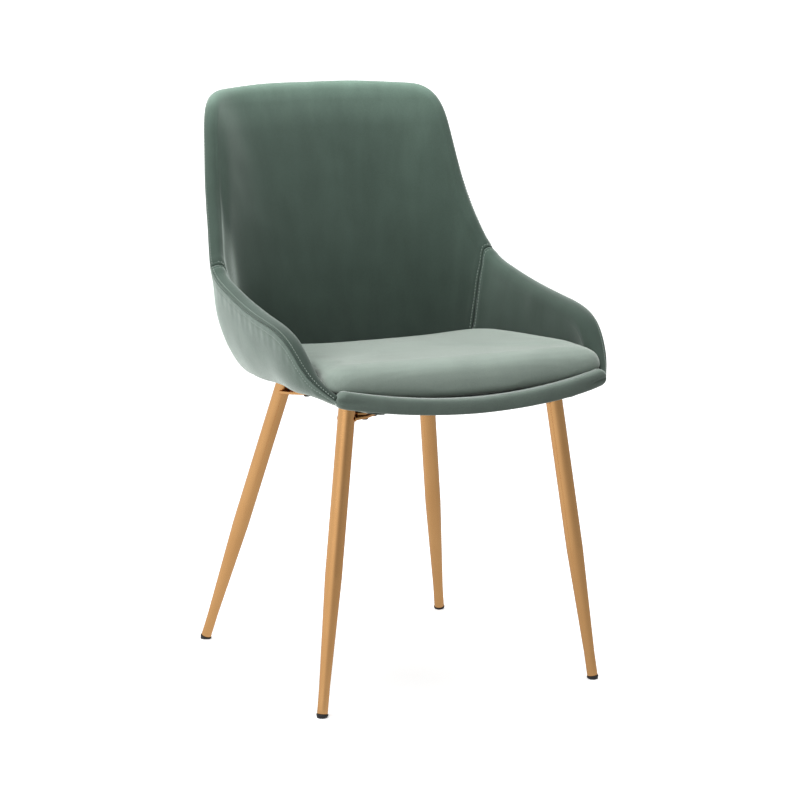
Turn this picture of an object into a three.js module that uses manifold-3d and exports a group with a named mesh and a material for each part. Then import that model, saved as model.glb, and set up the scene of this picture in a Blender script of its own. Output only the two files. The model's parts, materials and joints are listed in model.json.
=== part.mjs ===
// Upholstered dining chair: a padded bucket shell with low arms on four splayed, tapered steel legs.
// Millimetres. The chair faces -Y, +X is to the right of a person looking along +Y, and +Z is up.
// The floor is z = 0 and the origin is the centre of the footprint of the whole chair.
import * as THREE from 'three';
import { mergeVertices } from 'three/addons/utils/BufferGeometryUtils.js';
import Module from 'manifold-3d';

const wasm = await Module();
wasm.setup();

// ---------------------------------------------------------------- driving dimensions

// Stations round one half of the shell, from the front end of an arm to the middle of the back.
// rim is the outer seam of the padded edge. base is where the straight outer wall would meet the
// underside. tuck and rise are the width and height of the rounding between wall and underside.
const STATIONS = [
  { rim: [218, -273, 466], base: [214, -271, 458], tuck: 6, rise: 8 },
  { rim: [243, -229, 497], base: [246, -229, 464], tuck: 28, rise: 60 },
  { rim: [253, -185, 535], base: [263, -178, 463], tuck: 40, rise: 95 },
  { rim: [255, -99, 557], base: [260, -95, 459], tuck: 50, rise: 120 },
  { rim: [252, -18, 568], base: [250, -9, 453], tuck: 50, rise: 120 },
  { rim: [247, 59, 584], base: [236, 67, 448], tuck: 50, rise: 120 },
  { rim: [241, 119, 608], base: [221, 121, 443], tuck: 50, rise: 120 },
  { rim: [230, 155, 655], base: [203, 155, 440], tuck: 50, rise: 120 },
  { rim: [220, 188, 717], base: [179, 176, 437], tuck: 50, rise: 120 },
  { rim: [211, 211, 780], base: [155, 187, 434], tuck: 50, rise: 120 },
  { rim: [200, 233, 834], base: [129, 194, 433], tuck: 50, rise: 120 },
  { rim: [183, 253, 852], base: [102, 198, 432], tuck: 50, rise: 120 },
  { rim: [156, 272, 856], base: [77, 199, 431], tuck: 50, rise: 120 },
  { rim: [81, 292, 860], base: [44, 201, 430], tuck: 50, rise: 120 },
  { rim: [0, 301, 860], base: [0, 201, 430], tuck: 50, rise: 120 },
];
const SHELL_START = 0.008;          // where the shell starts, as a share of half its run
const ARM_START = 0.02;             // where the arm padding starts, as a share of the half shell
const ARM_END = 0.517;              // the seam between arm and back, at the seventh station
const SEAM_GAP = 0.0012;            // half of the gap at that seam

// Depths of the layers, measured inwards from the outside of the shell.
const OUTER_COVER = [0, 2];
const CORE = [2.4, 10.4];
const FOAM = [12, 28.4];
const INNER_COVER = [28.8, 31];
const INNER_TUCK = 0.45;            // the inner wall is less rounded at its foot than the outer wall
const RIM_DROP = 14;                // how far the padded rim reaches down the inner face
const LOW_WALL = 30;
const PADDING_FOOT = 10;            // height of the padding's lower edge above the base line

// The padded rim in section: depth inwards from the outer seam, and height above it.
const RIM_TOP = [[0.3, 0.3], [4, 3], [10, 5.2], [16, 5.8], [22, 4.6], [26.5, 1], [29.5, -5], [31, -14]];
const RIM_UNDER = [[28.8, -14], [27.3, -6], [24.6, -1], [20.8, 2], [16, 3.2], [10.6, 2.7], [5, 0.6], [1.4, -1.4]];
const FOAM_TOP = [[12.2, 2.3], [16, 2.8], [20.6, 1.6], [24.2, -1.3], [26.9, -6.3], [28.4, -14]];

// The underside is flat in the middle, on a plane that falls towards the back.
const SEAT_SLOPE = -0.05;
const floorHeight = (y) => 429.3 + SEAT_SLOPE * y;
const TURN_UNDER = 0.28;            // share of the way to the middle line where the flat part starts
const SPINE_END = 70;               // the middle line that the underside's rows run to ends here
const FRONT_BOW = 20;               // the front edge bows forwards by this much in the middle
const BOW_END = 0.14;

// Front band: half width and the drop of its face from corner to middle, top and bottom edges.
const BAND = {
  half: 214, thick: 11.5, power: 3.7, rise: 1.8,
  top: { corner: [-281.5, 480.5], middle: [-298.5, 458] },
  bottom: { corner: [-276.5, 459], middle: [-301, 437.5] },
};

// Plan of the seat cushion, front middle to rear middle.
const CUSHION_PLAN = [
  [0, -283], [110, -280], [169, -271], [195.5, -253], [207, -215], [208, -120], [203, -20], [190, 70],
  [173, 115], [142, 142], [80, 156], [0, 161],
];
// Rings of the cushion from foot to crown: inset from the plan and height above the underside, at the
// sides, where it rests on the shell's rounding, and at the front, where it reaches down to the band.
const CUSHION_RINGS = [
  { side: [60, 21], front: [60, 21] },
  { side: [44, 22], front: [30, 13.8] },
  { side: [24, 32], front: [12, 14.3] },
  { side: [10, 40], front: [3.5, 17.5] },
  { side: [3, 46], front: [0.5, 24] },
  { side: [0, 53], front: [0, 34] },
  { side: [1.5, 61], front: [4, 48] },
  { side: [6, 66], front: [12, 60] },
  { side: [20, 69.5], front: [28, 67.5] },
  { side: [60, 71], front: [60, 71] },
];
const CUSHION_FRONT = [-160, -262];   // the front profile takes over between these two lines
const CUSHION_CROWN = 71.5;         // height of the middle of the cushion above the underside
const CUSHION_REAR = { from: -20, length: 190, drop: 30 };
const COVER_THICK = 1.8;
const CUSHION_BOARD = { inset: 62, low: 11.2, thick: 9 };

// Board, dust cover, leg plates and fasteners below the flat underside.
const BOARD = { share: 0.32, front: -225, thick: 7, top: 2.1 };
const DUST_COVER = { top: -5.2, thick: 0.8 };
const SPACER = { from: 17, to: 85, wide: 40, cut: 9, top: -6.3, thick: 4.7 };
const PLATE = { long: 90, wide: 46, thick: 4, cut: 10, taper: 24, narrow: 29, notch: 13.6, top: -11.3 };
const BOLT = { r: 3, head: 5.2, headThick: 3.2, socket: 2.3, length: 17 };
const TNUT = { bore: 3.3, r: 4.4, flange: 7.2, flangeThick: 1.4, length: 4.8 };
const BOARD_HOLE = { r: 4.8, pocket: 7.7, pocketDeep: 2.2 };

// Legs: where each axis meets the floor and the plate's level, the way the plate points, the plane of
// the tube's upper end just under the shell (height at the axis, rise along x and y), and the bolts
// (along the plate from the leg, and across it).
const LEGS = {
  front: {
    foot: [224.6, -234.5], top: [169.8, -203.6, 428], aim: [-0.73, 0.683],
    end: [440.4, 0.233, -0.062], bolts: [[36, 14], [72, 14], [72, -14]],
  },
  rear: {
    foot: [208.5, 237.3], top: [123.6, 122.6, 412], aim: [-0.68, -0.733],
    end: [425.9, 0.196, 0.2], bolts: [[46, 12], [74, 14], [74, -14]],
  },
};
const TUBE = { r: 12.5, tip: 8, wall: 1.5, taperFrom: 0.53, taperTo: 0.9 };
const GLIDE = { r: 8.9, shoulder: 3.2, thick: 5.2, plug: 6, plugLength: 18 };

// ---------------------------------------------------------------- helpers

const lerp = THREE.MathUtils.lerp;
const clamp = THREE.MathUtils.clamp;
const V = (x, y, z) => new THREE.Vector3(x, y, z);

// Natural cubic spline through rows of numbers at the given knots.
function spline(knots, rows) {
  const n = knots.length;
  const width = rows[0].length;
  const bends = rows.map(() => new Array(width).fill(0));
  for (let k = 0; k < width; k++) {
    const c = new Array(n).fill(0);
    const d = new Array(n).fill(0);
    for (let i = 1; i < n - 1; i++) {
      const a = knots[i] - knots[i - 1];
      const b = knots[i + 1] - knots[i];
      const slope = (rows[i + 1][k] - rows[i][k]) / b - (rows[i][k] - rows[i - 1][k]) / a;
      const pivot = 2 * (a + b) - a * c[i - 1];
      c[i] = b / pivot;
      d[i] = (6 * slope - a * d[i - 1]) / pivot;
    }
    for (let i = n - 2; i > 0; i--) bends[i][k] = d[i] - c[i] * bends[i + 1][k];
  }
  return (t) => {
    let i = 0;
    while (i < n - 2 && t > knots[i + 1]) i++;
    const h = knots[i + 1] - knots[i];
    const a = (knots[i + 1] - t) / h;
    const b = (t - knots[i]) / h;
    return rows[i].map((p, k) => a * p + b * rows[i + 1][k]
      + ((a ** 3 - a) * bends[i][k] + (b ** 3 - b) * bends[i + 1][k]) * h * h / 6);
  };
}

// A closed body from points and triangles: points that meet are joined, triangles that close up
// are dropped, and the faces point out.
function body(points, triangles) {
  const geometry = new THREE.BufferGeometry();
  geometry.setAttribute('position', new THREE.Float32BufferAttribute(points.flatMap((p) => p.toArray()), 3));
  let volume = 0;
  for (const [a, b, c] of triangles) volume += points[a].dot(points[b].clone().cross(points[c]));
  geometry.setIndex(triangles.flatMap(([a, b, c]) => (volume < 0 ? [a, c, b] : [a, b, c])));
  const merged = mergeVertices(geometry, 1e-3);
  const kept = [];
  for (let i = 0; i < merged.index.count; i += 3) {
    const [a, b, c] = merged.index.array.slice(i, i + 3);
    if (a !== b && b !== c && c !== a) kept.push(a, b, c);
  }
  merged.setIndex(kept);
  return merged;
}

// Joins a row of closed sections. Each section goes down one side and back up the other, with the
// same number of points on both, so that the ends close as a strip. Both sides are split along the
// same diagonals, which keeps layers that lie close together apart. The diagonals turn round where
// the row crosses the chair's middle plane, so that the two halves match.
function sweep(sections) {
  const n = sections[0].length;
  const last = (sections.length - 1) * n;
  const triangles = [];
  for (let i = 0; i < sections.length - 1; i++) {
    const onLeft = sections[i][0].x + sections[i + 1][0].x < -1e-6;
    for (let j = 0; j < n; j++) {
      const a = i * n + j;
      const b = i * n + (j + 1) % n;
      if ((j < n / 2) !== onLeft) triangles.push([a, b, a + n], [b, b + n, a + n]);
      else triangles.push([a, b, b + n], [a, b + n, a + n]);
    }
  }
  for (let j = 0; j < n / 2 - 1; j++) {
    const [a, b, c, d] = [j, j + 1, n - 2 - j, n - 1 - j];
    triangles.push([a, c, b], [a, d, c], [last + a, last + b, last + c], [last + a, last + c, last + d]);
  }
  return body(sections.flat(), triangles);
}

// Stacks closed rings of equal length into a solid, ending on a point or a flat fan at each end.
function loft(rings, firstPoint, lastPoint) {
  const n = rings[0].length;
  const points = [...rings.flat(), firstPoint, lastPoint];
  const first = rings.length * n;
  const triangles = [];
  for (let i = 0; i < rings.length; i++) {
    for (let j = 0; j < n; j++) {
      const a = i * n + j;
      const b = i * n + (j + 1) % n;
      if (i === 0) triangles.push([first, b, a]);
      if (i === rings.length - 1) triangles.push([a, b, first + 1]);
      else triangles.push([a, b, a + n], [b, b + n, a + n]);
    }
  }
  return body(points, triangles);
}

function toManifold(geometry) {
  const bare = geometry.clone();
  bare.deleteAttribute('normal');
  bare.deleteAttribute('uv');
  const merged = mergeVertices(bare, 1e-3);
  return new wasm.Manifold(new wasm.Mesh({
    numProp: 3,
    vertProperties: new Float32Array(merged.attributes.position.array),
    triVerts: new Uint32Array(merged.index.array),
  }));
}

function fromManifold(solid) {
  const mesh = solid.getMesh();
  const geometry = new THREE.BufferGeometry();
  geometry.setAttribute('position', new THREE.Float32BufferAttribute(mesh.vertProperties, 3));
  geometry.setIndex([...mesh.triVerts]);
  return geometry;
}

// A flat plate of the given outline: [x, y] corners, thickness upwards from z = 0, and round holes.
function plate(outline, thick, holes = [], holeRadius = 0) {
  const points = outline.map(([x, y]) => new THREE.Vector2(x, y));
  if (THREE.ShapeUtils.isClockWise(points)) points.reverse();
  const shape = new THREE.Shape(points);
  for (const [x, y] of holes) {
    shape.holes.push(new THREE.Path().absarc(x, y, holeRadius, 0, 2 * Math.PI, true));
  }
  return new THREE.ExtrudeGeometry(shape, { depth: thick, bevelEnabled: false, curveSegments: 4 });
}

// A turned piece about the Z axis. profile is [radius, height] and closes on itself or on the axis.
function turned(profile, segments) {
  const geometry = new THREE.LatheGeometry(profile.map(([r, z]) => new THREE.Vector2(r, z)), segments);
  geometry.rotateX(Math.PI / 2).deleteAttribute('uv');
  geometry.deleteAttribute('normal');
  const merged = mergeVertices(geometry, 1e-3);
  const { array } = merged.attributes.position;
  const points = Array.from({ length: array.length / 3 }, (_, i) => V(...array.slice(3 * i, 3 * i + 3)));
  const triangles = [];
  for (let i = 0; i < merged.index.count; i += 3) triangles.push([...merged.index.array.slice(i, i + 3)]);
  return body(points, triangles);
}

// ---------------------------------------------------------------- the shell's surface

const half = STATIONS.map((s) => [...s.rim, ...s.base, s.tuck, s.rise]);
const dist = (a, b, i) => Math.hypot(a[i] - b[i], a[i + 1] - b[i + 1], a[i + 2] - b[i + 2]);
const lengths = half.reduce((sum, row, i) => {
  const step = i ? dist(row, half[i - 1], 0) + 0.6 * dist(row, half[i - 1], 3) : 0;
  return [...sum, step + (i ? sum[i - 1] : 0)];
}, []);
const knots = lengths.map((s) => s / lengths.at(-1));
const mirrored = half.slice(0, -1).reverse().map(([a, b, c, d, e, f, g, h]) => [-a, b, c, -d, e, f, g, h]);
const station = spline([...knots, ...knots.slice(0, -1).reverse().map((t) => 2 - t)], [...half, ...mirrored]);

// A point of the outer wall. t runs from 0 at the right arm's front, past 1 at the middle of the
// back, to 2 at the left arm's front. h runs from 0 at the underside to 1 at the rim.
function wall(t, h, tuckShare = 1) {
  const s = station(t);
  const before = station(t - 1e-3);
  const later = station(t + 1e-3);
  const rim = V(s[0], s[1], s[2]);
  const base = V(s[3], s[4], s[5]);
  const inward = V(before[4] - later[4], later[3] - before[3], 0).normalize();
  const tall = rim.distanceTo(base);
  const q = clamp(1 - h * tall / Math.min(s[7], tall), 0, 1);
  const tuck = s[6] * tuckShare * (1 - Math.sqrt(1 - q * q));
  return base.lerp(rim, h).addScaledVector(inward, tuck);
}

// The same point moved inwards, square to the wall.
function layer(t, h, depth, tuckShare = 1) {
  const e = 1e-3;
  const low = Math.max(h, 2e-3);
  const along = wall(t + e, low, tuckShare).sub(wall(t - e, low, tuckShare));
  const up = wall(t, low + e, tuckShare).sub(wall(t, low, tuckShare));
  return wall(t, h, tuckShare).addScaledVector(up.cross(along).normalize(), depth);
}

// A point of the padded rim, by its depth from the outer seam and its height above it.
function rimPoint(t, depth, height, tuckShare) {
  const tall = wallHeight(t);
  if (height < 0) return layer(t, 1 + height * rimShare(tall) / tall, depth, tuckShare);
  const e = 1e-3;
  const along = wall(t + e, 1).sub(wall(t - e, 1)).normalize();
  const up = wall(t, 1).sub(wall(t, 0.99));
  up.addScaledVector(along, -up.dot(along)).normalize();
  return wall(t, 1).addScaledVector(up, height).addScaledVector(up.clone().cross(along), depth);
}

// Where the wall is low, at the front of the arms, the padded rim reaches less far down it.
const rimShare = (tall) => clamp(tall / LOW_WALL, 0, 1);

function wallHeight(t) {
  const s = station(t);
  return Math.hypot(s[0] - s[3], s[1] - s[4], s[2] - s[5]);
}

const steps = (from, to, count) => Array.from({ length: count + 1 }, (_, i) => lerp(from, to, i / count));

// A point of the underside. share runs from 0 at the foot of the wall to 1 at the chair's middle line.
function floorPoint(t, share, depth) {
  const foot = wall(t, 0);
  const bow = FRONT_BOW * clamp(1 - Math.min(t, 2 - t) / BOW_END, 0, 1);
  const y = lerp(foot.y, Math.min(foot.y, SPINE_END), share) - bow * (1 - (1 - share) ** BAND.power);
  const level = lerp(foot.z, floorHeight(y), THREE.MathUtils.smoothstep(share, 0, TURN_UNDER));
  return V(foot.x * (1 - share), y, level + depth);
}

// Heights down the wall, as shares of its height, from the foot of the rim to the padding's foot.
function paddingSteps(t, count) {
  const tall = wallHeight(t);
  const top = 1 - RIM_DROP * rimShare(tall) / tall;
  return steps(top, Math.min(PADDING_FOOT / tall, top * 0.6), count);
}

// ---------------------------------------------------------------- the shell's pieces

const RIM_GAP = 2.2;                // the outer cover and the core stop this far below the seam
const FOOT_SHARES = [1, 0.8, 0.62, 0.45, 0.3, 0.18, 0.09, 0.03, 0];
const UNDER_SHARES = [0.1, 0.2, 0.29];

// A row of points down the wall and in under the seat, at one depth.
function wallRow(t, depth, shares) {
  const top = 1 - RIM_GAP / wallHeight(t);
  return [...FOOT_SHARES.map((h) => layer(t, h * top, depth)), ...shares.map((share) => floorPoint(t, share, depth))];
}

function outerCover(ts) {
  const [outside, inside] = OUTER_COVER;
  return sweep(ts.map((t) => [...wallRow(t, outside, UNDER_SHARES), ...wallRow(t, inside, UNDER_SHARES).reverse()]));
}

// The moulded core is one sheet: wall, rounded foot and floor, meeting itself on the middle line.
function shellCore(ts) {
  const shares = [...UNDER_SHARES, 0.6, 1];
  const n = FOOT_SHARES.length + shares.length;
  const sides = CORE.map((depth) => ts.flatMap((t) => wallRow(t, depth, shares)));
  const shift = sides[0].length;
  const triangles = [];
  const quad = (a, b, c, d) => triangles.push([a, b, c], [a, c, d]);
  for (let i = 0; i < ts.length; i++) {
    for (let j = 0; j < n; j++) {
      const a = i * n + j;
      const ends = i === 0 || i === ts.length - 1;
      if (i < ts.length - 1 && j < n - 1) {
        const outside = [a + 1, a + n + 1, a + n, a];
        const inside = [a + n, a + n + 1, a + 1, a].map((k) => k + shift);
        const turn = ts[i] + ts[i + 1] > 2 + 1e-6 ? 1 : 0;
        quad(...outside.slice(turn), ...outside.slice(0, turn));
        quad(...inside.slice(turn), ...inside.slice(0, turn));
      }
      if (i < ts.length - 1 && j === 0) quad(a, a + n, shift + a + n, shift + a);
      if (ends && j < n - 1) {
        if (i === 0) quad(a, shift + a, shift + a + 1, a + 1);
        else quad(a, a + 1, shift + a + 1, shift + a);
      }
    }
  }
  return body(sides.flat(), triangles);
}

// Inner covers wrap over the rim to the outer seam.
function innerCover(ts) {
  const [under, face] = INNER_COVER;
  const count = 5;
  const section = (t) => {
    const down = paddingSteps(t, count).slice(1);
    return [
      ...RIM_TOP.map(([depth, height]) => rimPoint(t, depth, height, INNER_TUCK)),
      ...down.map((h) => layer(t, h, face, INNER_TUCK)),
      ...down.toReversed().map((h) => layer(t, h, under, INNER_TUCK)),
      ...RIM_UNDER.map(([depth, height]) => rimPoint(t, depth, height, INNER_TUCK)),
    ];
  };
  return sweep(ts.map(section));
}

function wallFoam(ts) {
  const [back, face] = FOAM;
  const count = 5;
  const section = (t) => {
    const down = paddingSteps(t, count).slice(1);
    return [
      ...FOAM_TOP.map(([depth, height]) => rimPoint(t, depth, height, INNER_TUCK)),
      ...down.map((h) => layer(t, h, face, INNER_TUCK)),
      ...down.toReversed().map((h) => layer(t, h, back)),
      ...FOAM_TOP.map(([, height]) => rimPoint(t, back, height - 1, 1)).reverse(),
    ];
  };
  return sweep(ts.map(section));
}

// The band is a padded strip across the front edge, higher at its ends than in the middle.
function frontBand() {
  const { half: reach, thick, power, rise, top, bottom } = BAND;
  const across = steps(-1, 1, 20);
  const edge = (u, { corner, middle }) => [
    lerp(middle[0], corner[0], Math.abs(u) ** power),
    lerp(middle[1], corner[1], Math.abs(u) ** rise),
  ];
  const front = [[0.3, 0], [0, 0.12], [-0.06, 0.5], [0, 0.86], [0.3, 1]];
  const section = [...front, ...front.toReversed().map(([, up]) => [1, up])];
  const sections = across.map((u) => section.map(([deep, up]) => {
    const [lowY, lowZ] = edge(u, bottom);
    const [highY, highZ] = edge(u, top);
    return V(u * reach, lerp(lowY, highY, up) + deep * thick, lerp(lowZ, highZ, up));
  }));
  return sweep(sections);
}

// ---------------------------------------------------------------- the seat cushion

const planCurve = new THREE.CatmullRomCurve3(
  [...CUSHION_PLAN, ...CUSHION_PLAN.slice(1, -1).reverse().map(([x, y]) => [-x, y])].map(([x, y]) => V(x, y, 0)),
  true, 'centripetal');
const CUSHION_STEPS = 36;

// A ring of the cushion, drawn in by shrink and raised by lift. Near the crown a positive skin lowers it.
function cushionRing({ side, front }, shrink = 0, skin = 0, lift = 0) {
  return steps(0, 1, CUSHION_STEPS).slice(0, -1).map((u) => {
    const p = planCurve.getPoint(u);
    const along = planCurve.getTangent(u);
    const share = THREE.MathUtils.smoothstep(-p.y, -CUSHION_FRONT[0], -CUSHION_FRONT[1]);
    const bandRise = (BAND.top.corner[1] - BAND.top.middle[1]) * Math.abs(p.x / BAND.half) ** BAND.rise;
    const raised = front[1] + bandRise * clamp((CUSHION_CROWN - front[1]) / CUSHION_CROWN, 0, 1) ** 2;
    const above = lerp(side[1], Math.min(raised, Math.max(side[1], front[1])), share);
    p.addScaledVector(V(-along.y, along.x, 0), lerp(side[0], front[0], share) + shrink);
    const back = clamp((p.y - CUSHION_REAR.from) / CUSHION_REAR.length, 0, 1);
    const drop = CUSHION_REAR.drop * back ** 2 * Math.min(1, side[1] / CUSHION_CROWN) ** 2;
    const lower = skin * THREE.MathUtils.smoothstep(side[1], 40, 58);
    return V(p.x, p.y, floorHeight(p.y) + above - drop - lower + lift);
  });
}

const middle = (above) => V(0, -60, floorHeight(-60) + above);

function cushionFoam() {
  const skin = COVER_THICK + 1.7;
  const lift = 1.1;
  const rings = CUSHION_RINGS.map((ring) => cushionRing(ring, skin, skin, lift));
  return loft(rings, middle(CUSHION_RINGS[0].side[1] + lift), middle(CUSHION_CROWN - skin + lift));
}

function cushionCover() {
  const covered = CUSHION_RINGS.slice(1);
  const outside = covered.map((ring) => cushionRing(ring));
  const inside = covered.map((ring) => cushionRing(ring, COVER_THICK, COVER_THICK));
  return loft([...inside.reverse(), ...outside], middle(CUSHION_CROWN - COVER_THICK), middle(CUSHION_CROWN));
}

function cushionBoard() {
  const { inset, low, thick } = CUSHION_BOARD;
  const rings = [low, low + thick].map((z) => cushionRing({ side: [inset, z], front: [inset, z] }));
  return loft(rings, middle(low), middle(low + thick));
}

// ---------------------------------------------------------------- under the seat

const tilt = Math.atan(SEAT_SLOPE);

// Turns a piece drawn flat, with its heights measured from the underside, into the sloping plane.
function onUnderside(geometry) {
  return geometry.rotateX(tilt).translate(0, 0, floorHeight(0));
}

function boardOutline() {
  const ts = steps(0.12, 1, 18);
  const right = ts.map((t) => floorPoint(t, BOARD.share, 0)).map((p) => [p.x, p.y]);
  const left = right.slice(0, -1).reverse().map(([x, y]) => [-x, y]);
  const front = [right[0][0] - 16, BOARD.front];
  return [front, ...right, ...left, [-front[0], front[1]]];
}

// Each corner of the undercarriage: where its leg is, the way its plate points, and its bolts.
const corners = Object.entries(LEGS).flatMap(([end, leg]) => [['right', 1], ['left', -1]].map(([side, sign]) => {
  const aim = new THREE.Vector2(leg.aim[0] * sign, leg.aim[1]).normalize();
  const across = new THREE.Vector2(-aim.y * sign, aim.x * sign);
  const at = (along, out) => new THREE.Vector2(leg.top[0] * sign, leg.top[1])
    .addScaledVector(aim, along).addScaledVector(across, out);
  return {
    name: `${end}_${side}`,
    foot: V(leg.foot[0] * sign, leg.foot[1], 0),
    top: V(leg.top[0] * sign, leg.top[1], leg.top[2]),
    end: [leg.end[0], leg.end[1] * sign, leg.end[2]],
    at,
    bolts: leg.bolts.map(([along, out]) => at(along, out)),
  };
}));
const allBolts = corners.flatMap((corner) => corner.bolts);

// The plate narrows to the tube, is notched round it, and has its far corners cut off.
function legPlate(corner) {
  const { long, wide, thick, cut, taper, narrow, notch, top } = PLATE;
  const w = wide / 2;
  const round = steps(Math.PI / 2, -Math.PI / 2, 10).map((a) => [notch * Math.cos(a), notch * Math.sin(a)]);
  const outline = [
    [0, -narrow / 2], [taper, -w], [long - cut, -w], [long, -w + cut],
    [long, w - cut], [long - cut, w], [taper, w], [0, narrow / 2], ...round,
  ].map(([along, out]) => corner.at(along, out).toArray());
  const shape = plate(outline, thick, corner.bolts.map((b) => b.toArray()), BOLT.r + 0.35);
  return onUnderside(shape.translate(0, 0, top - thick));
}

// A flat spacer keeps the plate off the seat board.
function legSpacer(corner) {
  const { from, to, wide, cut, top, thick } = SPACER;
  const w = wide / 2;
  const outline = [
    [from, -w + cut], [from + cut, -w], [to - cut, -w], [to, -w + cut],
    [to, w - cut], [to - cut, w], [from + cut, w], [from, w - cut],
  ].map(([along, out]) => corner.at(along, out).toArray());
  const shape = plate(outline, thick, corner.bolts.map((b) => b.toArray()), BOLT.r + 0.35);
  return onUnderside(shape.translate(0, 0, top - thick));
}

// Slides the points at one end of a turned piece along its axis onto the plane
// z = level + slopeX * x + slopeY * y.
function trim(geometry, axis, isEnd, level, slopeX, slopeY) {
  const position = geometry.attributes.position;
  const p = V(0, 0, 0);
  for (let i = 0; i < position.count; i++) {
    p.fromBufferAttribute(position, i);
    if (!isEnd(p)) continue;
    const rise = level + slopeX * p.x + slopeY * p.y - p.z;
    p.addScaledVector(axis, rise / (axis.z - slopeX * axis.x - slopeY * axis.y));
    position.setXYZ(i, p.x, p.y, p.z);
  }
  return geometry;
}

function onLegAxis(geometry, corner) {
  const axis = corner.top.clone().sub(corner.foot).normalize();
  const turn = new THREE.Quaternion().setFromUnitVectors(V(0, 0, 1), axis);
  geometry.applyQuaternion(turn).translate(corner.foot.x, corner.foot.y, corner.foot.z);
  return axis;
}

const legLength = (corner) => corner.top.distanceTo(corner.foot) + 12;

function leg(corner) {
  const { r, tip, wall: skin, taperFrom, taperTo } = TUBE;
  const long = legLength(corner);
  const radii = [[long, r], [long * (1 - taperFrom), r], [long * (1 - taperTo), tip], [GLIDE.thick + 0.3, tip]];
  const outside = radii.map(([z, radius]) => [radius, z]);
  const inside = radii.map(([z, radius]) => [radius - skin, z]).reverse();
  const geometry = turned([...outside, ...inside, outside[0]].reverse(), 16);
  const axis = onLegAxis(geometry, corner);
  const [height, slopeX, slopeY] = corner.end;
  const level = height - slopeX * corner.top.x - slopeY * corner.top.y;
  return trim(geometry, axis, (p) => p.z > long * 0.85, level, slopeX, slopeY);
}

function glide(corner) {
  const { r, shoulder, thick, plug, plugLength } = GLIDE;
  const profile = [[0, -4], [r - 1.6, -4], [r, shoulder], [r, thick], [plug, thick], [plug, plugLength], [0, plugLength]];
  const geometry = turned(profile, 16);
  const axis = onLegAxis(geometry, corner);
  return trim(geometry, axis, (p) => p.clone().sub(corner.foot).dot(axis) < -3, 0, 0, 0);
}

function bolt(at) {
  const { r, head, headThick, socket, length } = BOLT;
  const base = PLATE.top - PLATE.thick - 0.3;
  const profile = [
    [0, base - headThick + 1.6], [socket, base - headThick + 1.6], [socket, base - headThick],
    [head - 0.8, base - headThick], [head, base - headThick + 0.8], [head, base], [r, base], [r, base + length],
    [0, base + length],
  ];
  return onUnderside(turned(profile, 8).translate(at.x, at.y, 0));
}

function teeNut(at) {
  const { bore, r, flange, flangeThick, length } = TNUT;
  const seat = BOARD.top - BOARD_HOLE.pocketDeep;
  const profile = [
    [bore, seat + 0.3 - length], [r, seat + 0.3 - length], [r, seat + 0.3], [flange, seat + 0.3],
    [flange, seat + 0.3 + flangeThick], [bore, seat + 0.3 + flangeThick], [bore, seat + 0.3 - length],
  ];
  return onUnderside(turned(profile, 8).translate(at.x, at.y, 0));
}

function seatBoard() {
  const { thick, top } = BOARD;
  const { r, pocket, pocketDeep } = BOARD_HOLE;
  const low = top - thick;
  let solid = toManifold(plate(boardOutline(), thick).translate(0, 0, low));
  const tool = [
    [0, low - 1], [r, low - 1], [r, top - pocketDeep], [pocket, top - pocketDeep], [pocket, top + 1], [0, top + 1],
  ];
  for (const at of allBolts) solid = solid.subtract(toManifold(turned(tool, 8).translate(at.x, at.y, 0)));
  return onUnderside(fromManifold(solid));
}

function dustCover() {
  const holes = allBolts.map((b) => b.toArray());
  return onUnderside(plate(boardOutline(), DUST_COVER.thick, holes, BOLT.r + 0.5)
    .translate(0, 0, DUST_COVER.top - DUST_COVER.thick));
}

// ---------------------------------------------------------------- the chair

const velvet = { color: 0x5f7a6c, roughness: 0.85, metalness: 0 };
const finishes = {
  velvet,
  foam: { color: 0xd9d2b8, roughness: 0.95, metalness: 0 },
  ply: { color: 0xc49a6c, roughness: 0.7, metalness: 0 },
  brass: { color: 0xc9a063, roughness: 0.32, metalness: 1 },
  black: { color: 0x1b1a1c, roughness: 0.6, metalness: 0 },
  steel: { color: 0x9a9a9c, roughness: 0.4, metalness: 1 },
};
const chair = new THREE.Group();

function add(name, finish, geometry) {
  const mesh = new THREE.Mesh(geometry, new THREE.MeshStandardMaterial(finishes[finish]));
  mesh.name = name;
  chair.add(mesh);
}

// Stations of the arms and the back. The padding stops short of the seam between them.
const armSteps = steps(ARM_START, ARM_END, 9);
const backSteps = steps(ARM_END, 2 - ARM_END, 18);
const leftSteps = armSteps.map((t) => 2 - t).reverse();
const shellSteps = [SHELL_START, ...armSteps, ...backSteps.slice(1, -1), ...leftSteps, 2 - SHELL_START];
const arms = {
  right: [...armSteps.slice(0, -1), ARM_END - SEAM_GAP],
  left: [2 - ARM_END + SEAM_GAP, ...leftSteps.slice(1)],
};
const back = [ARM_END + SEAM_GAP, ...backSteps.slice(1, -1), 2 - ARM_END - SEAM_GAP];

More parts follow.
